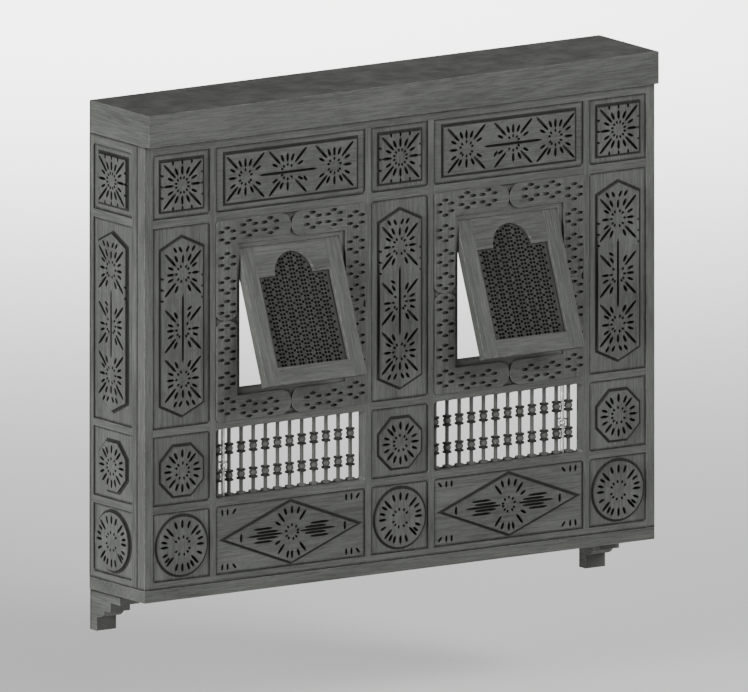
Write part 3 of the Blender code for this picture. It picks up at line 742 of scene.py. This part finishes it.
def frontRadii(column, row):
    radii = []
    for right, upper in ((0, 0), (1, 0), (1, 1), (0, 1)):
        onSide = column == (len(columns) - 1 if right else 0)
        onEnd = row == (len(rows) - 1 if upper else 0)
        radii.append(cornerRadius if onSide == onEnd else 0)
    return radii


def sideRadii(row):
    low = cornerRadius if row == 0 else 0
    high = cornerRadius if row == len(rows) - 1 else 0
    return [low, low, high, high]


def panelFace(node):
    # the board's face, behind its raised field
    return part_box(node)[0].y + panelBoard["fieldProud"]


def makeFrontPanels():
    number = firstBoard["frontPanel"]
    for column, columnName in enumerate(columnNames):
        isWide = column in windowColumns.values()
        for row, rowName in enumerate(rowNames):
            kind = wideNames.get(rowName) if isWide else rowName
            if kind is None:
                continue
            node = f"front_{kind}_panel_{columnName}"
            low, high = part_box(node)
            panel = carvedPanel("carved_" + node, high.x - low.x, high.z - low.z, frontRadii(column, row),
                                kind, levelTimber if isWide else uprightTimber, number,
                                turned=column > 1, lean=panelBoard["footLean"])
            place(panel, node, Matrix.Translation(middleOf(node, panelFace(node))))
            number += 1


def makeSidePanels():
    number = firstBoard["sidePanel"]
    proud = panelBoard["fieldProud"]
    for side, turn in (("left", -90), ("right", 90)):
        for row, kind in enumerate(rowNames):
            node = f"{side}_side_{kind}_panel"
            low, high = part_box(node)
            panel = carvedPanel("carved_" + node, high.y - low.y, high.z - low.z, sideRadii(row), kind,
                                uprightTimber, number, turned=side == "left")
            face = low.x + proud if side == "left" else high.x - proud
            middle = Matrix.Translation((face, (low.y + high.y) / 2, (low.z + high.z) / 2))
            place(panel, node, middle @ Matrix.Rotation(radians(turn), 4, "Z"))
            number += 1


makeFrontPanels()
makeSidePanels()
print("panels carved")


# frame

frameBoard = {
    "arris": 1.5 * mm,
    "joint": 0.9 * mm,        # how wide and deep the V between two members is, about
    "jointLift": 0.4,         # how far its cutter stands out of the face, and how tall that is,
    "jointTall": 1.4,         # as shares of the joint
    "railFigures": 11,        # sets the figure of one grid rail apart from the next
    "cellShade": 0.8,          # painted shade on the narrow walls round each panel
    "cellNear": 9 * mm,
    "levelArris": 2 * mm,     # the floor board and the cornice are handled more
}


def grooves(thing, lines, face, inward=1):
    # fine V joints where two members meet, along lines drawn in x and z on a face
    deep = frameBoard["joint"] * inward
    lift = Vector((0, -frameBoard["jointLift"] * deep, 0))
    bm = bmesh.new()
    for start, end in lines:
        along = Vector((end[0] - start[0], 0, end[1] - start[1])).normalized()
        across = Vector((-along.z, 0, along.x)) * frameBoard["joint"]
        section = [across, -across, Vector((0, deep * frameBoard["jointTall"], 0))]
        first, last = [[bm.verts.new(Vector((x, face, z)) + lift + point) for point in section]
                       for x, z in (start, end)]
        bm.faces.new(first)
        bm.faces.new(list(reversed(last)))
        for k in range(3):
            after = (k + 1) % 3
            bm.faces.new((first[k], last[k], last[after], first[after]))
    return combine(thing, newObject("grooves", bm), "DIFFERENCE")


def divide(thing, places):
    # splits the faces at each x where one member ends
    bm = bmesh.new()
    bm.from_mesh(thing.data)
    for x in places:
        bmesh.ops.bisect_plane(bm, geom=bm.verts[:] + bm.edges[:] + bm.faces[:], plane_co=(x, 0, 0),
                               plane_no=(1, 0, 0), dist=1e-6)
    bm.to_mesh(thing.data)
    bm.free()


def grainBy(thing, materials, choose=lambda face: 0):
    thing.data.materials.clear()
    for material in materials:
        thing.data.materials.append(material)
    for polygon in thing.data.polygons:
        polygon.material_index = choose(polygon)
    return thing


def joinMembers(thing, edges, joints=(), front=0, back=None, uprights=0):
    # V joints on the front, and on a back that is seen, then each member gets its own grain:
    # upright where the number of edges to the left is even, or with uprights=1 where it's odd
    if joints:
        grooves(thing, joints, front)
    if back is not None:
        grooves(thing, joints, back, inward=-1)
    divide(thing, edges)
    grainBy(thing, [uprightTimber, levelTimber],
            lambda face: 0 if sum(face.center.x > x for x in edges) % 2 == uprights else 1)


def shadeCells(thing, inCell):
    # painted shade on the narrow walls round each panel
    for polygon, item in zip(thing.data.polygons, thing.data.attributes["cut"].data):
        if abs(polygon.normal.y) < edgeOn and inCell(polygon.center):
            item.value = frameBoard["cellShade"]
    return thing


def boxOf(name, left, right, front, back, bottom, top):
    return prism(name, [rectangle(left, bottom, right, top)], front, back)


def plainPiece(node, materials, board, width=frameBoard["arris"], half=(noBorder, noBorder),
               choose=lambda face: 0):
    piece = soften(nodeCopy(node, "finished_" + node), width)
    grainBy(piece, materials, choose)
    place(mark(piece, board, half, middleOf(node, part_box(node)[0].y), "all"), node)


def makeOuterFrame():
    for number, side in enumerate(bothSides):
        node = f"front_stile_{side}"
        low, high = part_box(node)
        # a border of painted shade at its top, under the cornice, and at its bottom
        plainPiece(node, [uprightTimber], firstBoard["stile"] + number,
                   half=(noBorder, (high.z - low.z) / 2))
    bottom, top = rows[0][0], rows[-1][1]
    inside = rounded(columns[0][0], bottom, columns[-1][1], top, [cornerRadius] * 4)
    for number, (node, level) in enumerate((("front_bottom_rail", bottom), ("front_top_rail", top))):
        low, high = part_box(node)
        rail = boxOf("finished_" + node, low.x, high.x, low.y, high.y, low.z, high.z)
        combine(rail, prism("inside", [inside], low.y - 0.1, high.y + 0.1), "DIFFERENCE")
        soften(rail, frameBoard["arris"])
        grainBy(rail, [levelTimber])
        # its middle is put a metre inside, so that only its outer edge has a border of painted shade
        middle = high.z - 1 if level > 1 else low.z + 1
        mark(rail, firstBoard["rail"] + number, (noBorder, 1), (0, 0, middle), "all")
        # and painted shade on the walls of the cells beside it
        shadeCells(rail, lambda point: abs(point.z - level) < frameBoard["cellNear"])
        place(rail, node)


def makeGrid():
    low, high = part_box("front_grid")
    grid = boxOf("finished_front_grid", low.x, high.x, low.y, high.y, low.z, high.z)
    past = 20 * mm   # how far the cutters run past the grid
    arris = frameBoard["arris"]
    lastColumn, lastRow = len(columns) - 1, len(rows) - 1
    openings = []
    for column, (left, right) in enumerate(columns):
        for row, (bottom, top) in enumerate(rows):
            isLeft, isRight, isLow, isHigh = column == 0, column == lastColumn, row == 0, row == lastRow
            atEdges = (isLeft or isLow, isRight or isLow, isRight or isHigh, isLeft or isHigh)
            radii = [0 if atEdge else cornerRadius for atEdge in atEdges]
            openings.append(rounded(left - past * isLeft, bottom - past * isLow,
                                    right + past * isRight, top + past * isHigh, radii))
    combine(grid, prism("openings", openings, low.y - past, high.y + past), "DIFFERENCE")
    bottom, top = rows[1]
    balusterRow = [columns[column] for column in windowColumns.values()]
    for side, (left, right) in zip(windowColumns, balusterRow):
        railLow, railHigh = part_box(f"baluster_grille_{side}")
        for under, over in ((railLow.z - gap, bottom + gap), (top - gap, railHigh.z + gap)):
            rebate = boxOf("rebate", left, right, railLow.y - gap, high.y + past, under, over)
            combine(grid, rebate, "DIFFERENCE")
    soften(grid, arris)
    edges = [x for span in columns for x in span][1:-1]
    joints = []
    for column, (left, right) in enumerate(columns):
        for row in range(lastRow):
            under, over = rows[row][1] + arris, rows[row + 1][0] - arris
            joints += [((x, under), (x, over)) for x in (left, right) if x in edges]
    joinMembers(grid, edges, joints, low.y, high.y, uprights=1)
    mark(grid, firstBoard["grid"], edges="all")
    # painted shade on the cell walls, except round the balusters
    shadeCells(grid, lambda point: not (bottom - mm < point.z < top + mm and
                                       any(left - mm < point.x < right + mm for left, right in balusterRow)))
    for polygon, tone in zip(grid.data.polygons, grid.data.attributes["board"].data):
        column = sum(polygon.center.x > x for x in edges)
        row = sum(polygon.center.z > (under + over) / 2 for under, over in rows)
        tone.value = firstBoard["grid"] + column + (0 if column % 2 else frameBoard["railFigures"] * row)
    place(grid, "front_grid")


def makeSideFrames():
    arris, near = frameBoard["arris"], frameBoard["cellNear"]
    for number, (side, turn) in enumerate((("left", -90), ("right", 90))):
        node = f"side_frame_{side}"
        low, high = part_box(node)
        panelLow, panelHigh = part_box(f"{side}_side_disc_panel")
        across = 1 if side == "left" else -1  # the board's x against the frame's -y
        thick, half, middleY = high.x - low.x, (high.y - low.y) / 2, (low.y + high.y) / 2
        nearX, farX = sorted(-across * (y - middleY) for y in (panelLow.y - gap, panelHigh.y + gap))
        piece = boxOf("finished_" + node, -half, half, 0, thick, low.z, high.z)
        openings = [rounded(nearX, bottom, farX, top, sideRadii(row))
                    for row, (bottom, top) in enumerate(rows)]
        combine(piece, prism("openings", openings, -thick, 2 * thick), "DIFFERENCE")
        soften(piece, arris)
        levels = [low.z] + [level for span in rows for level in span] + [high.z]
        joints = [((x, under + arris), (x, over - arris)) for under, over in zip(levels[::2], levels[1::2])
                  for x in (nearX, farX)]
        joinMembers(piece, [nearX, farX], joints)
        # a border of painted shade all round, and painted shade on its cells' walls
        mark(piece, firstBoard["sideFrame"] + number, (half, (high.z - low.z) / 2),
             (0, 0, (low.z + high.z) / 2), "all")
        shadeCells(piece, lambda point: nearX - mm < point.x < farX + mm and
                  low.z + near < point.z < high.z - near)
        outer = Matrix.Translation((low.x if side == "left" else high.x, middleY, 0))
        place(piece, node, outer @ Matrix.Rotation(radians(turn), 4, "Z"))


def makeFloorAndCornice():
    plainPiece("floor_board", [levelTimber], firstBoard["floor"], frameBoard["levelArris"])
    piece = soften(nodeCopy("cornice", "finished_cornice"), frameBoard["levelArris"])
    grainBy(piece, [levelTimber, crossTimber], lambda face: 1 if abs(face.normal.x) > 0.7 else 0)
    place(mark(piece, firstBoard["cornice"], edges="all"), "cornice")


bracket = {   # millimetres from the wall and down from the floor board
    "reach": 217, "step": 37,
    "shelf": 148, "shelfBottom": 76,
    "ovoloTop": 105, "ovoloFoot": 110, "ovoloSteps": 16,
    "block": 47, "drop": 168,
    "inset": 3,       # narrower than its room, so that the floor board's end throws a line of shade on it
    "arris": 1.5,
    "sheltered": 3,   # the part just under the floor board isn't worn
    "border": 100,    # half the height of what has a border of painted shade, measured down from the top
}


def makeBrackets():
    reach, step, shelf, under = [bracket[name] for name in ("reach", "step", "shelf", "shelfBottom")]
    block, drop, inset = bracket["block"], bracket["drop"], bracket["inset"] * mm
    border = bracket["border"] * mm
    outline = [(0, -gap / mm), (-reach, -gap / mm), (-reach, -step), (-shelf, -step), (-shelf, -under)]
    run, fall = bracket["ovoloTop"] - block, bracket["ovoloFoot"] - under
    for k in range(bracket["ovoloSteps"] + 1):
        angle = pi / 2 * k / bracket["ovoloSteps"]
        outline.append((-block - run * cos(angle), -under - fall * sin(angle)))
    outline += [(-block, -drop), (0, -drop)]
    outline = [(x * mm, z * mm) for x, z in outline]
    for number, side in enumerate(bothSides):
        node = f"wall_bracket_{side}"
        low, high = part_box(node)
        piece = prism("finished_" + node, [outline], inset, high.x - low.x - inset)
        soften(piece, bracket["arris"] * mm, steepest=30)
        # drawn in x; the quarter turn lays it toward the wall
        toWall = Matrix.Translation((high.x, 0, high.z + gap)) @ Matrix.Rotation(radians(90), 4, "Z")
        piece.data.transform(toWall)
        grainBy(piece, [crossTimber])
        # the border of painted shade, under the floor board, is along the top only: the lower edge is out of
        # its reach
        mark(piece, firstBoard["bracket"] + number, (noBorder, border), (0, 0, high.z - border), "all")
        for polygon, worn in zip(piece.data.polygons, piece.data.attributes["edge"].data):
            if polygon.center.z > high.z - bracket["sheltered"] * mm:
                worn.value = 0.0
        place(piece, node)


makeOuterFrame()
makeGrid()
makeSideFrames()
makeFloorAndCornice()
makeBrackets()
print("frame ready")


# windows

casing = {"thick": 32 * mm, "lining": 24 * mm, "openWide": 492 * mm, "openTall": 583 * mm, "arris": 1.2 * mm}


def makeCasings():
    thick = casing["thick"]
    spanX, spanZ = casing["openWide"] / 2, casing["openTall"] / 2
    reachX, reachZ = spanX + casing["lining"], spanZ + casing["lining"]
    for number, side in enumerate(bothSides):
        node = f"window_casing_{side}"
        low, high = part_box(node)
        halfX, halfZ = (high.x - low.x) / 2, (high.z - low.z) / 2
        corners = [cornerRadius - gap] * 4
        board = prism("finished_" + node, [rounded(-halfX, -halfZ, halfX, halfZ, corners)], 0, thick)
        lining = prism("lining", [rectangle(-reachX, -reachZ, reachX, reachZ)], thick / 2, high.y - low.y)
        combine(board, lining, "UNION")
        combine(board, prism("hole", [rectangle(-spanX, -spanZ, spanX, spanZ)], *through), "DIFFERENCE")
        soften(board, casing["arris"])
        joinMembers(board, [-spanX, spanX])
        # a border of painted shade all round
        mark(board, firstBoard["casing"] + number, (halfX, halfZ))
        place(board, node, Matrix.Translation(middleOf(node, low.y)))


cornerPlate = {
    "thick": 12 * mm, "armWide": 100 * mm, "armTall": 102 * mm, "arris": 1.0 * mm,
    "tipRise": 20 * mm, "tipGap": 0.7 * mm,
    "clusters": [(315, 353), (208, 373), (104, 373), (315, 247), (315, 145), (315, 50)],
    "seeds": [(0, 31), (0, -31), (29, 15.5), (29, -15.5), (-29, 15.5), (-29, -15.5)],   # in each cluster
    "seedHalf": 16, "seedShape": (11.2, 4.5), "seedFlare": 0.8 * mm,
}


def plateOutline(wide, tall):
    # the window's upper right plate, about the window's centre
    reachX, reachZ = wide / 2, tall / 2
    innerX, innerZ = reachX - cornerPlate["armWide"], reachZ - cornerPlate["armTall"]
    end, halfArm = cornerPlate["armTall"] / 2, cornerPlate["armWide"] / 2
    corner, tipGap, rise = cornerRadius - gap, cornerPlate["tipGap"], cornerPlate["tipRise"]
    tip = (halfArm ** 2 + rise ** 2) / (2 * rise)
    swing = 90 - degrees(atan2(tip - rise, halfArm))
    points = arc((reachX - corner, reachZ - corner), corner, 0, 90, 6)
    points += arc((tipGap + end, innerZ + end), end, 90, 270, 24)
    points.append((innerX, innerZ))
    points += arc((innerX + halfArm, tipGap + tip), tip, 270 - swing, 270 + swing, 12)
    return points


def makePlates():
    wide, tall = [span[1] - span[0] - 2 * gap for span in (columns[1], rows[2])]
    innerX = wide / 2 - cornerPlate["armWide"]
    front, half = -cornerPlate["thick"], cornerPlate["seedHalf"]
    seeds = [(x + dx, z + dz) for x, z in cornerPlate["clusters"] for dx, dz in cornerPlate["seeds"]]
    face = panelFace("front_hexagon_panel_left")
    number = firstBoard["plate"]
    for side, column in windowColumns.items():
        middle = Vector((sum(columns[column]) / 2, face, sum(rows[2]) / 2))
        for quarter, toX, toZ in (("top_left", -1, 1), ("top_right", 1, 1),
                                  ("bottom_left", -1, -1), ("bottom_right", 1, -1)):
            node = f"corner_plate_{side}_{quarter}"
            outline = [(toX * x, toZ * z) for x, z in plateOutline(wide, tall)]
            plate = prism("finished_" + node, [outline], front, -gap)
            soften(plate, cornerPlate["arris"], steepest=40)
            cuts = [ray((toX * x, toZ * z), 0, -half, half, *cornerPlate["seedShape"]) for x, z in seeds]
            carve(plate, cuts, front, -gap, levelTimber, flare=cornerPlate["seedFlare"], sides=10)
            divide(plate, [toX * innerX])
            grainBy(plate, [levelTimber, uprightTimber],
                    lambda face: 0 if toX * face.center.x < innerX else 1)
            place(mark(plate, number), node, Matrix.Translation(middle))
            number += 1


flap = {
    "wide": 490 * mm, "tall": 579 * mm, "thick": 40 * mm, "arris": 1.8 * mm,
    "lightWide": 350 * mm, "lightTall": 376 * mm, "lightArch": 95 * mm, "lightAbove": 71 * mm,
    # the last is the painted shade laid over the whole grille
    "grilleBack": 15 * mm, "grilleThick": 22 * mm, "grilleShade": 0.75,
}
lattice = {   # millimetres: cells across and up, and the grains about each
    "columns": 8, "rows": 16, "pitchX": 43.8, "pitchZ": 32.3, "first": 16.2,
    "grains": ((0, -16.2), (14.2, 7.3), (14.2, -7.3), (-14.2, 7.3), (-14.2, -7.3)),
    "long": 13.6, "wide": 10.6, "full": 4.5, "flare": 0.3,
    # how far the grains' middles stay from the light's sides, its foot and its arch
    "clearSide": 9, "clearFoot": 4, "clearArch": 5, "clearArchSide": 6,
}


def lightSides():
    # the light's lower and upper levels below the arch, half its width, and the arch's radius
    bottom = -flap["tall"] + flap["lightAbove"]
    return bottom, bottom + flap["lightTall"], flap["lightWide"] / 2, flap["lightArch"]


def lightOutline(shrink):
    under, over, half, radius = lightSides()
    under, over, half = under + shrink, over - shrink, half - shrink
    return [(-half, under), (half, under), (half, over),
            *arc((0, over), radius - shrink, 0, 180, 28), (-half, over)]


def latticeGrains():
    # five grains for each cell of the lattice, kept clear of the light's edge
    under, over, half, radius = lightSides()
    beside, foot, arch, archSide = [lattice[name] * mm for name in
                                    ("clearSide", "clearFoot", "clearArch", "clearArchSide")]
    made = []
    for column in range(lattice["columns"]):
        x = (column - (lattice["columns"] - 1) / 2) * lattice["pitchX"] * mm
        for row in range(lattice["rows"]):
            z = under + (lattice["first"] + lattice["pitchZ"] * row) * mm
            for dx, dz in lattice["grains"]:
                px, pz = x + dx * mm, z + dz * mm
                inBox = abs(px) < half - beside and under + foot < pz < over - foot
                fromMiddle = (abs(px) + archSide) ** 2 + (pz - over) ** 2
                if inBox or (pz >= over - foot and fromMiddle < (radius - arch) ** 2):
                    made.append((px, pz, 0, lattice["long"] * mm, lattice["wide"] * mm, lattice["full"]))
    return made


def makeFlaps():
    thick, tall, half, arris = flap["thick"], flap["tall"], flap["wide"] / 2, flap["arris"]
    bottom, top, span = lightSides()[:3]
    leaf = prism("leaf", [rectangle(-half, -tall, half, 0)], 0, thick)
    combine(leaf, prism("light", [lightOutline(0)], *through), "DIFFERENCE")
    soften(leaf, arris, steepest=30)
    joints = [((x, low), (x, high)) for x in (-span, span)
              for low, high in ((-tall + arris, bottom - arris), (top + arris, -arris))]
    joinMembers(leaf, [-span, span], joints, 0, thick)
    front, back = flap["grilleBack"], flap["grilleBack"] + flap["grilleThick"]
    grille = prism("grille", [lightOutline(gap)], front, back)
    carve(grille, latticeGrains(), front, back, uprightTimber, flare=lattice["flare"] * mm, sides=8)
    for number, side in enumerate(bothSides):
        joint = next(item for item in frame["joints"] if item["name"] == f"flap_{side}_hinge")
        opened = radians(joint["range_deg"][0])
        hinge = Matrix.Translation(joint["pos_m"]) @ Matrix.Rotation(opened, 4, "X")
        for source, node, slotName in ((leaf, f"flap_{side}", "frame_timber"),
                                       (grille, f"flap_grille_{side}", "panel_timber")):
            piece = bpy.data.objects.new("finished_" + node, source.data.copy())
            scene.collection.objects.link(piece)
            mark(piece, firstBoard["flap"] + 3 * number, edges="all")
            if source == grille:
                # the whole grille gets painted shade
                for item in piece.data.attributes["cut"].data:
                    item.value = max(item.value, flap["grilleShade"])
            place(piece, node, hinge, body=f"flap_{side}")
    for source in (leaf, grille):
        bpy.data.objects.remove(source, do_unlink=True)


makeCasings()
makePlates()
print("casings and plates ready")
makeFlaps()
print("flaps ready")


# turned work

def lathe(name, profile, sides, centre=(0, 0, 0)):
    # profile: radius and height of each ring, in millimetres
    bm = bmesh.new()
    turns = [2 * pi * k / sides for k in range(sides)]
    rings = [[bm.verts.new((centre[0] + radius * mm * cos(turn), centre[1] + radius * mm * sin(turn),
                            centre[2] + height * mm)) for turn in turns] for radius, height in profile]
    for lower, upper in zip(rings, rings[1:]):
        for k in range(sides):
            after = (k + 1) % sides
            bm.faces.new((lower[k], lower[after], upper[after], upper[k]))
    bm.faces.new(list(reversed(rings[0])))
    bm.faces.new(rings[-1])
    return newObject(name, bm)


def about(centre, half, between=()):
    # a profile that is the same below and above a height
    lower = [(radius, centre - rise) for radius, rise in reversed(half)]
    return lower + list(between) + [(radius, centre + rise) for radius, rise in half]


baluster = {
    "count": 12, "pitch": 59.45 * mm, "sides": 20, "beads": (82, 193.5),
    "shaft": 8, "disc": 19.2, "foot": 20,       # radii, in millimetres
    # how much painted shade the grooves by each bead get
    "grooveShade": 0.85, "grooves": (12, 22.5),  # how far above and below a bead they lie
    "endShade": 0.7, "shadedTop": 9.6, "shadedFoot": (-1, 0.5),   # heights that get the ends' painted shade
    "railArris": 1 * mm, "rowFigures": 20,
}
turnedSharp = radians(38)


def balusterProfile(tall):
    shaft, disc, foot = [baluster[name] for name in ("shaft", "disc", "foot")]
    end = [(shaft, -1), (foot - 1.2, -0.2), (foot, 1), (foot, 7.5), (foot - 1.5, 9), (shaft + 1.5, 9.5),
           (shaft, 13)]
    # half of one bead group, from its ball outward: ball, neck, disc, groove, disc
    half = [(16.6, 2.6), (15.4, 7), (12.6, 10.4), (9.4, 12.2), (9.4, 13.4), (disc - 1.2, 13.8),
            (disc, 14.6), (disc, 16.4), (disc - 1.2, 17.2), (12.5, 17.5), (12.5, 18.3),
            (disc - 1.2, 18.6), (disc, 19.4), (disc, 20.8), (disc - 1.2, 21.6), (shaft + 1.2, 22),
            (shaft, 25)]
    rings = list(end)
    for bead in baluster["beads"]:
        rings += about(bead, half)
    return rings + [(radius, tall / mm - height) for radius, height in reversed(end)]


def balusterShade(height, tall):
    # the grooves by each ball get the most painted shade, the cap under the rail and the foot a little less
    near, far = baluster["grooves"]
    if any(near < abs(height / mm - bead) < far for bead in baluster["beads"]):
        return baluster["grooveShade"]
    low, high = baluster["shadedFoot"]
    atEnd = height > tall - baluster["shadedTop"] * mm or low * mm < height < high * mm
    return baluster["endShade"] if atEnd else 0


def merge(things, name):
    bm = bmesh.new()
    for thing in things:
        bm.from_mesh(thing.data)
        bpy.data.objects.remove(thing, do_unlink=True)
    return newObject(name, bm)


def makeBalusters():
    count, pitch = baluster["count"], baluster["pitch"]
    bottom, top = rows[1]
    for number, side in enumerate(windowColumns):
        node = f"baluster_grille_{side}"
        low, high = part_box(node)
        axis, middle = (low.y + high.y) / 2, (low.x + high.x) / 2
        row = lathe("baluster", balusterProfile(top - bottom), baluster["sides"])
        runTree(row, rowTree, Count=count, Pitch=(pitch, 0, 0),
                Start=(middle - (count - 1) / 2 * pitch, axis, bottom), Material=turnedTimber)
        rails = [soften(boxOf("rail", low.x, high.x, low.y, high.y, under, over), baluster["railArris"])
                 for under, over in ((low.z, bottom), (top, high.z))]
        grille = merge([row] + rails, "finished_" + node)
        grainBy(grille, [turnedTimber, levelTimber], lambda face: 0 if bottom < face.center.z < top else 1)
        mark(grille, firstBoard["baluster"], edges="none")
        tones, shadeLevels = grille.data.attributes["board"].data, grille.data.attributes["cut"].data
        for k, polygon in enumerate(grille.data.polygons):
            fromLeft = round((polygon.center.x - middle) / pitch + count / 2)
            tones[k].value = firstBoard["baluster"] + baluster["rowFigures"] * number + fromLeft
            polygon.use_smooth = bottom < polygon.center.z < top
            if polygon.use_smooth:
                # painted shade on the turned shafts
                shadeLevels[k].value = balusterShade(polygon.center.z - bottom, top - bottom)
        grille.data.set_sharp_from_angle(angle=turnedSharp)
        place(grille, node)


tieRod = {"shaft": 7.5, "collar": 17.5, "ball": 12.5, "ballAt": 123.5, "end": 0.3, "sides": 28}


def makeRods():
    shaft, collar, ball, middle = [tieRod[name] for name in ("shaft", "collar", "ball", "ballAt")]
    bottom, top = rows[1]
    half = [(shaft, 13.5), (collar - 1, 13.5), (collar, 14.3), (collar, 17.7), (collar - 1, 18.5),
            (shaft, 18.5)]
    turns = [radians(turn) for turn in range(-50, 51, 10)]
    rounds = [(ball * cos(turn), middle + ball * sin(turn)) for turn in turns]
    ends = [(shaft, tieRod["end"]), (shaft, (top - bottom) / mm - tieRod["end"])]
    profile = ends[:1] + about(middle, half, rounds) + ends[1:]
    for side in windowColumns:
        node = f"tie_rod_{side}"
        low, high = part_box(node)
        rod = lathe("finished_" + node, profile, tieRod["sides"],
                    ((low.x + high.x) / 2, (low.y + high.y) / 2, bottom))
        rod.data.materials.append(tinnedIron)
        rod.data.shade_smooth()
        rod.data.set_sharp_from_angle(angle=turnedSharp)
        mark(rod, firstBoard["rod"], edges="none")
        place(rod, node)


makeBalusters()
makeRods()
print("turned work ready")


# camera, light and floor

def makeView():
    view = {"azimuth": 34.1, "elevation": 10.85, "width": 3.036, "away": 12.0,
            "middle": (-0.1256, -0.400, 0.9203)}
    azimuth, elevation = radians(view["azimuth"]), radians(view["elevation"])
    back = Vector((-sin(azimuth) * cos(elevation), -cos(azimuth) * cos(elevation), sin(elevation)))
    camera = bpy.data.cameras.new("camera")
    camera.type = "ORTHO"
    camera.ortho_scale = view["width"]
    camera.clip_end = 100
    eye = bpy.data.objects.new("camera", camera)
    scene.collection.objects.link(eye)
    eye.location = Vector(view["middle"]) + back * view["away"]
    eye.rotation_euler = (-back).to_track_quat("-Z", "Y").to_euler()
    scene.camera = eye


lamps = {   # place, size in metres, watts, what it is turned to
    "key": ((-12.0, -3.2, 1.8), 5.0, 2750, (0, -0.2, 0.9)),
    "front": ((3.4, -7.9, 5.0), 5.0, 880, (0, -0.2, 0.9)),
    "far floor": ((8.0, 13.4, 5.5), 8.0, 3600, (8.0, 13.4, -1)),
}
studio = {"colour": (0.95, 0.97, 1.0, 1), "strength": 0.26}


def makeLights():
    world = bpy.data.worlds.new("studio")
    world.use_nodes = True
    feed(world.node_tree.nodes["Background"], {"Color": studio["colour"], "Strength": studio["strength"]})
    scene.world = world
    for name, (spot, size, power, aim) in lamps.items():
        light = bpy.data.lights.new(name, "AREA")
        light.shape = "DISK"
        light.size = size
        light.energy = power
        lamp = bpy.data.objects.new(name, light)
        scene.collection.objects.link(lamp)
        lamp.location = spot
        lamp.visible_glossy = name != "far floor"
        toward = Vector(aim) - lamp.location
        lamp.rotation_euler = toward.to_track_quat("-Z", "Y").to_euler()


def makeFloor():
    floor = {"size": 60.0, "below": 0.45, "colour": (0.78, 0.78, 0.77, 1), "roughness": 0.9}
    level, half = cadBox[0].z - floor["below"], floor["size"] / 2
    bm = bmesh.new()
    bm.faces.new([bm.verts.new((x, y, level)) for x, y in rectangle(-half, -half, half, half)])
    ground = newObject("floor", bm)
    material, _, shader = newMaterial("pale floor")
    feed(shader, {"Base Color": floor["colour"], "Roughness": floor["roughness"]})
    ground.data.materials.append(material)


makeView()
makeLights()
makeFloor()
print("camera, lights and floor ready")
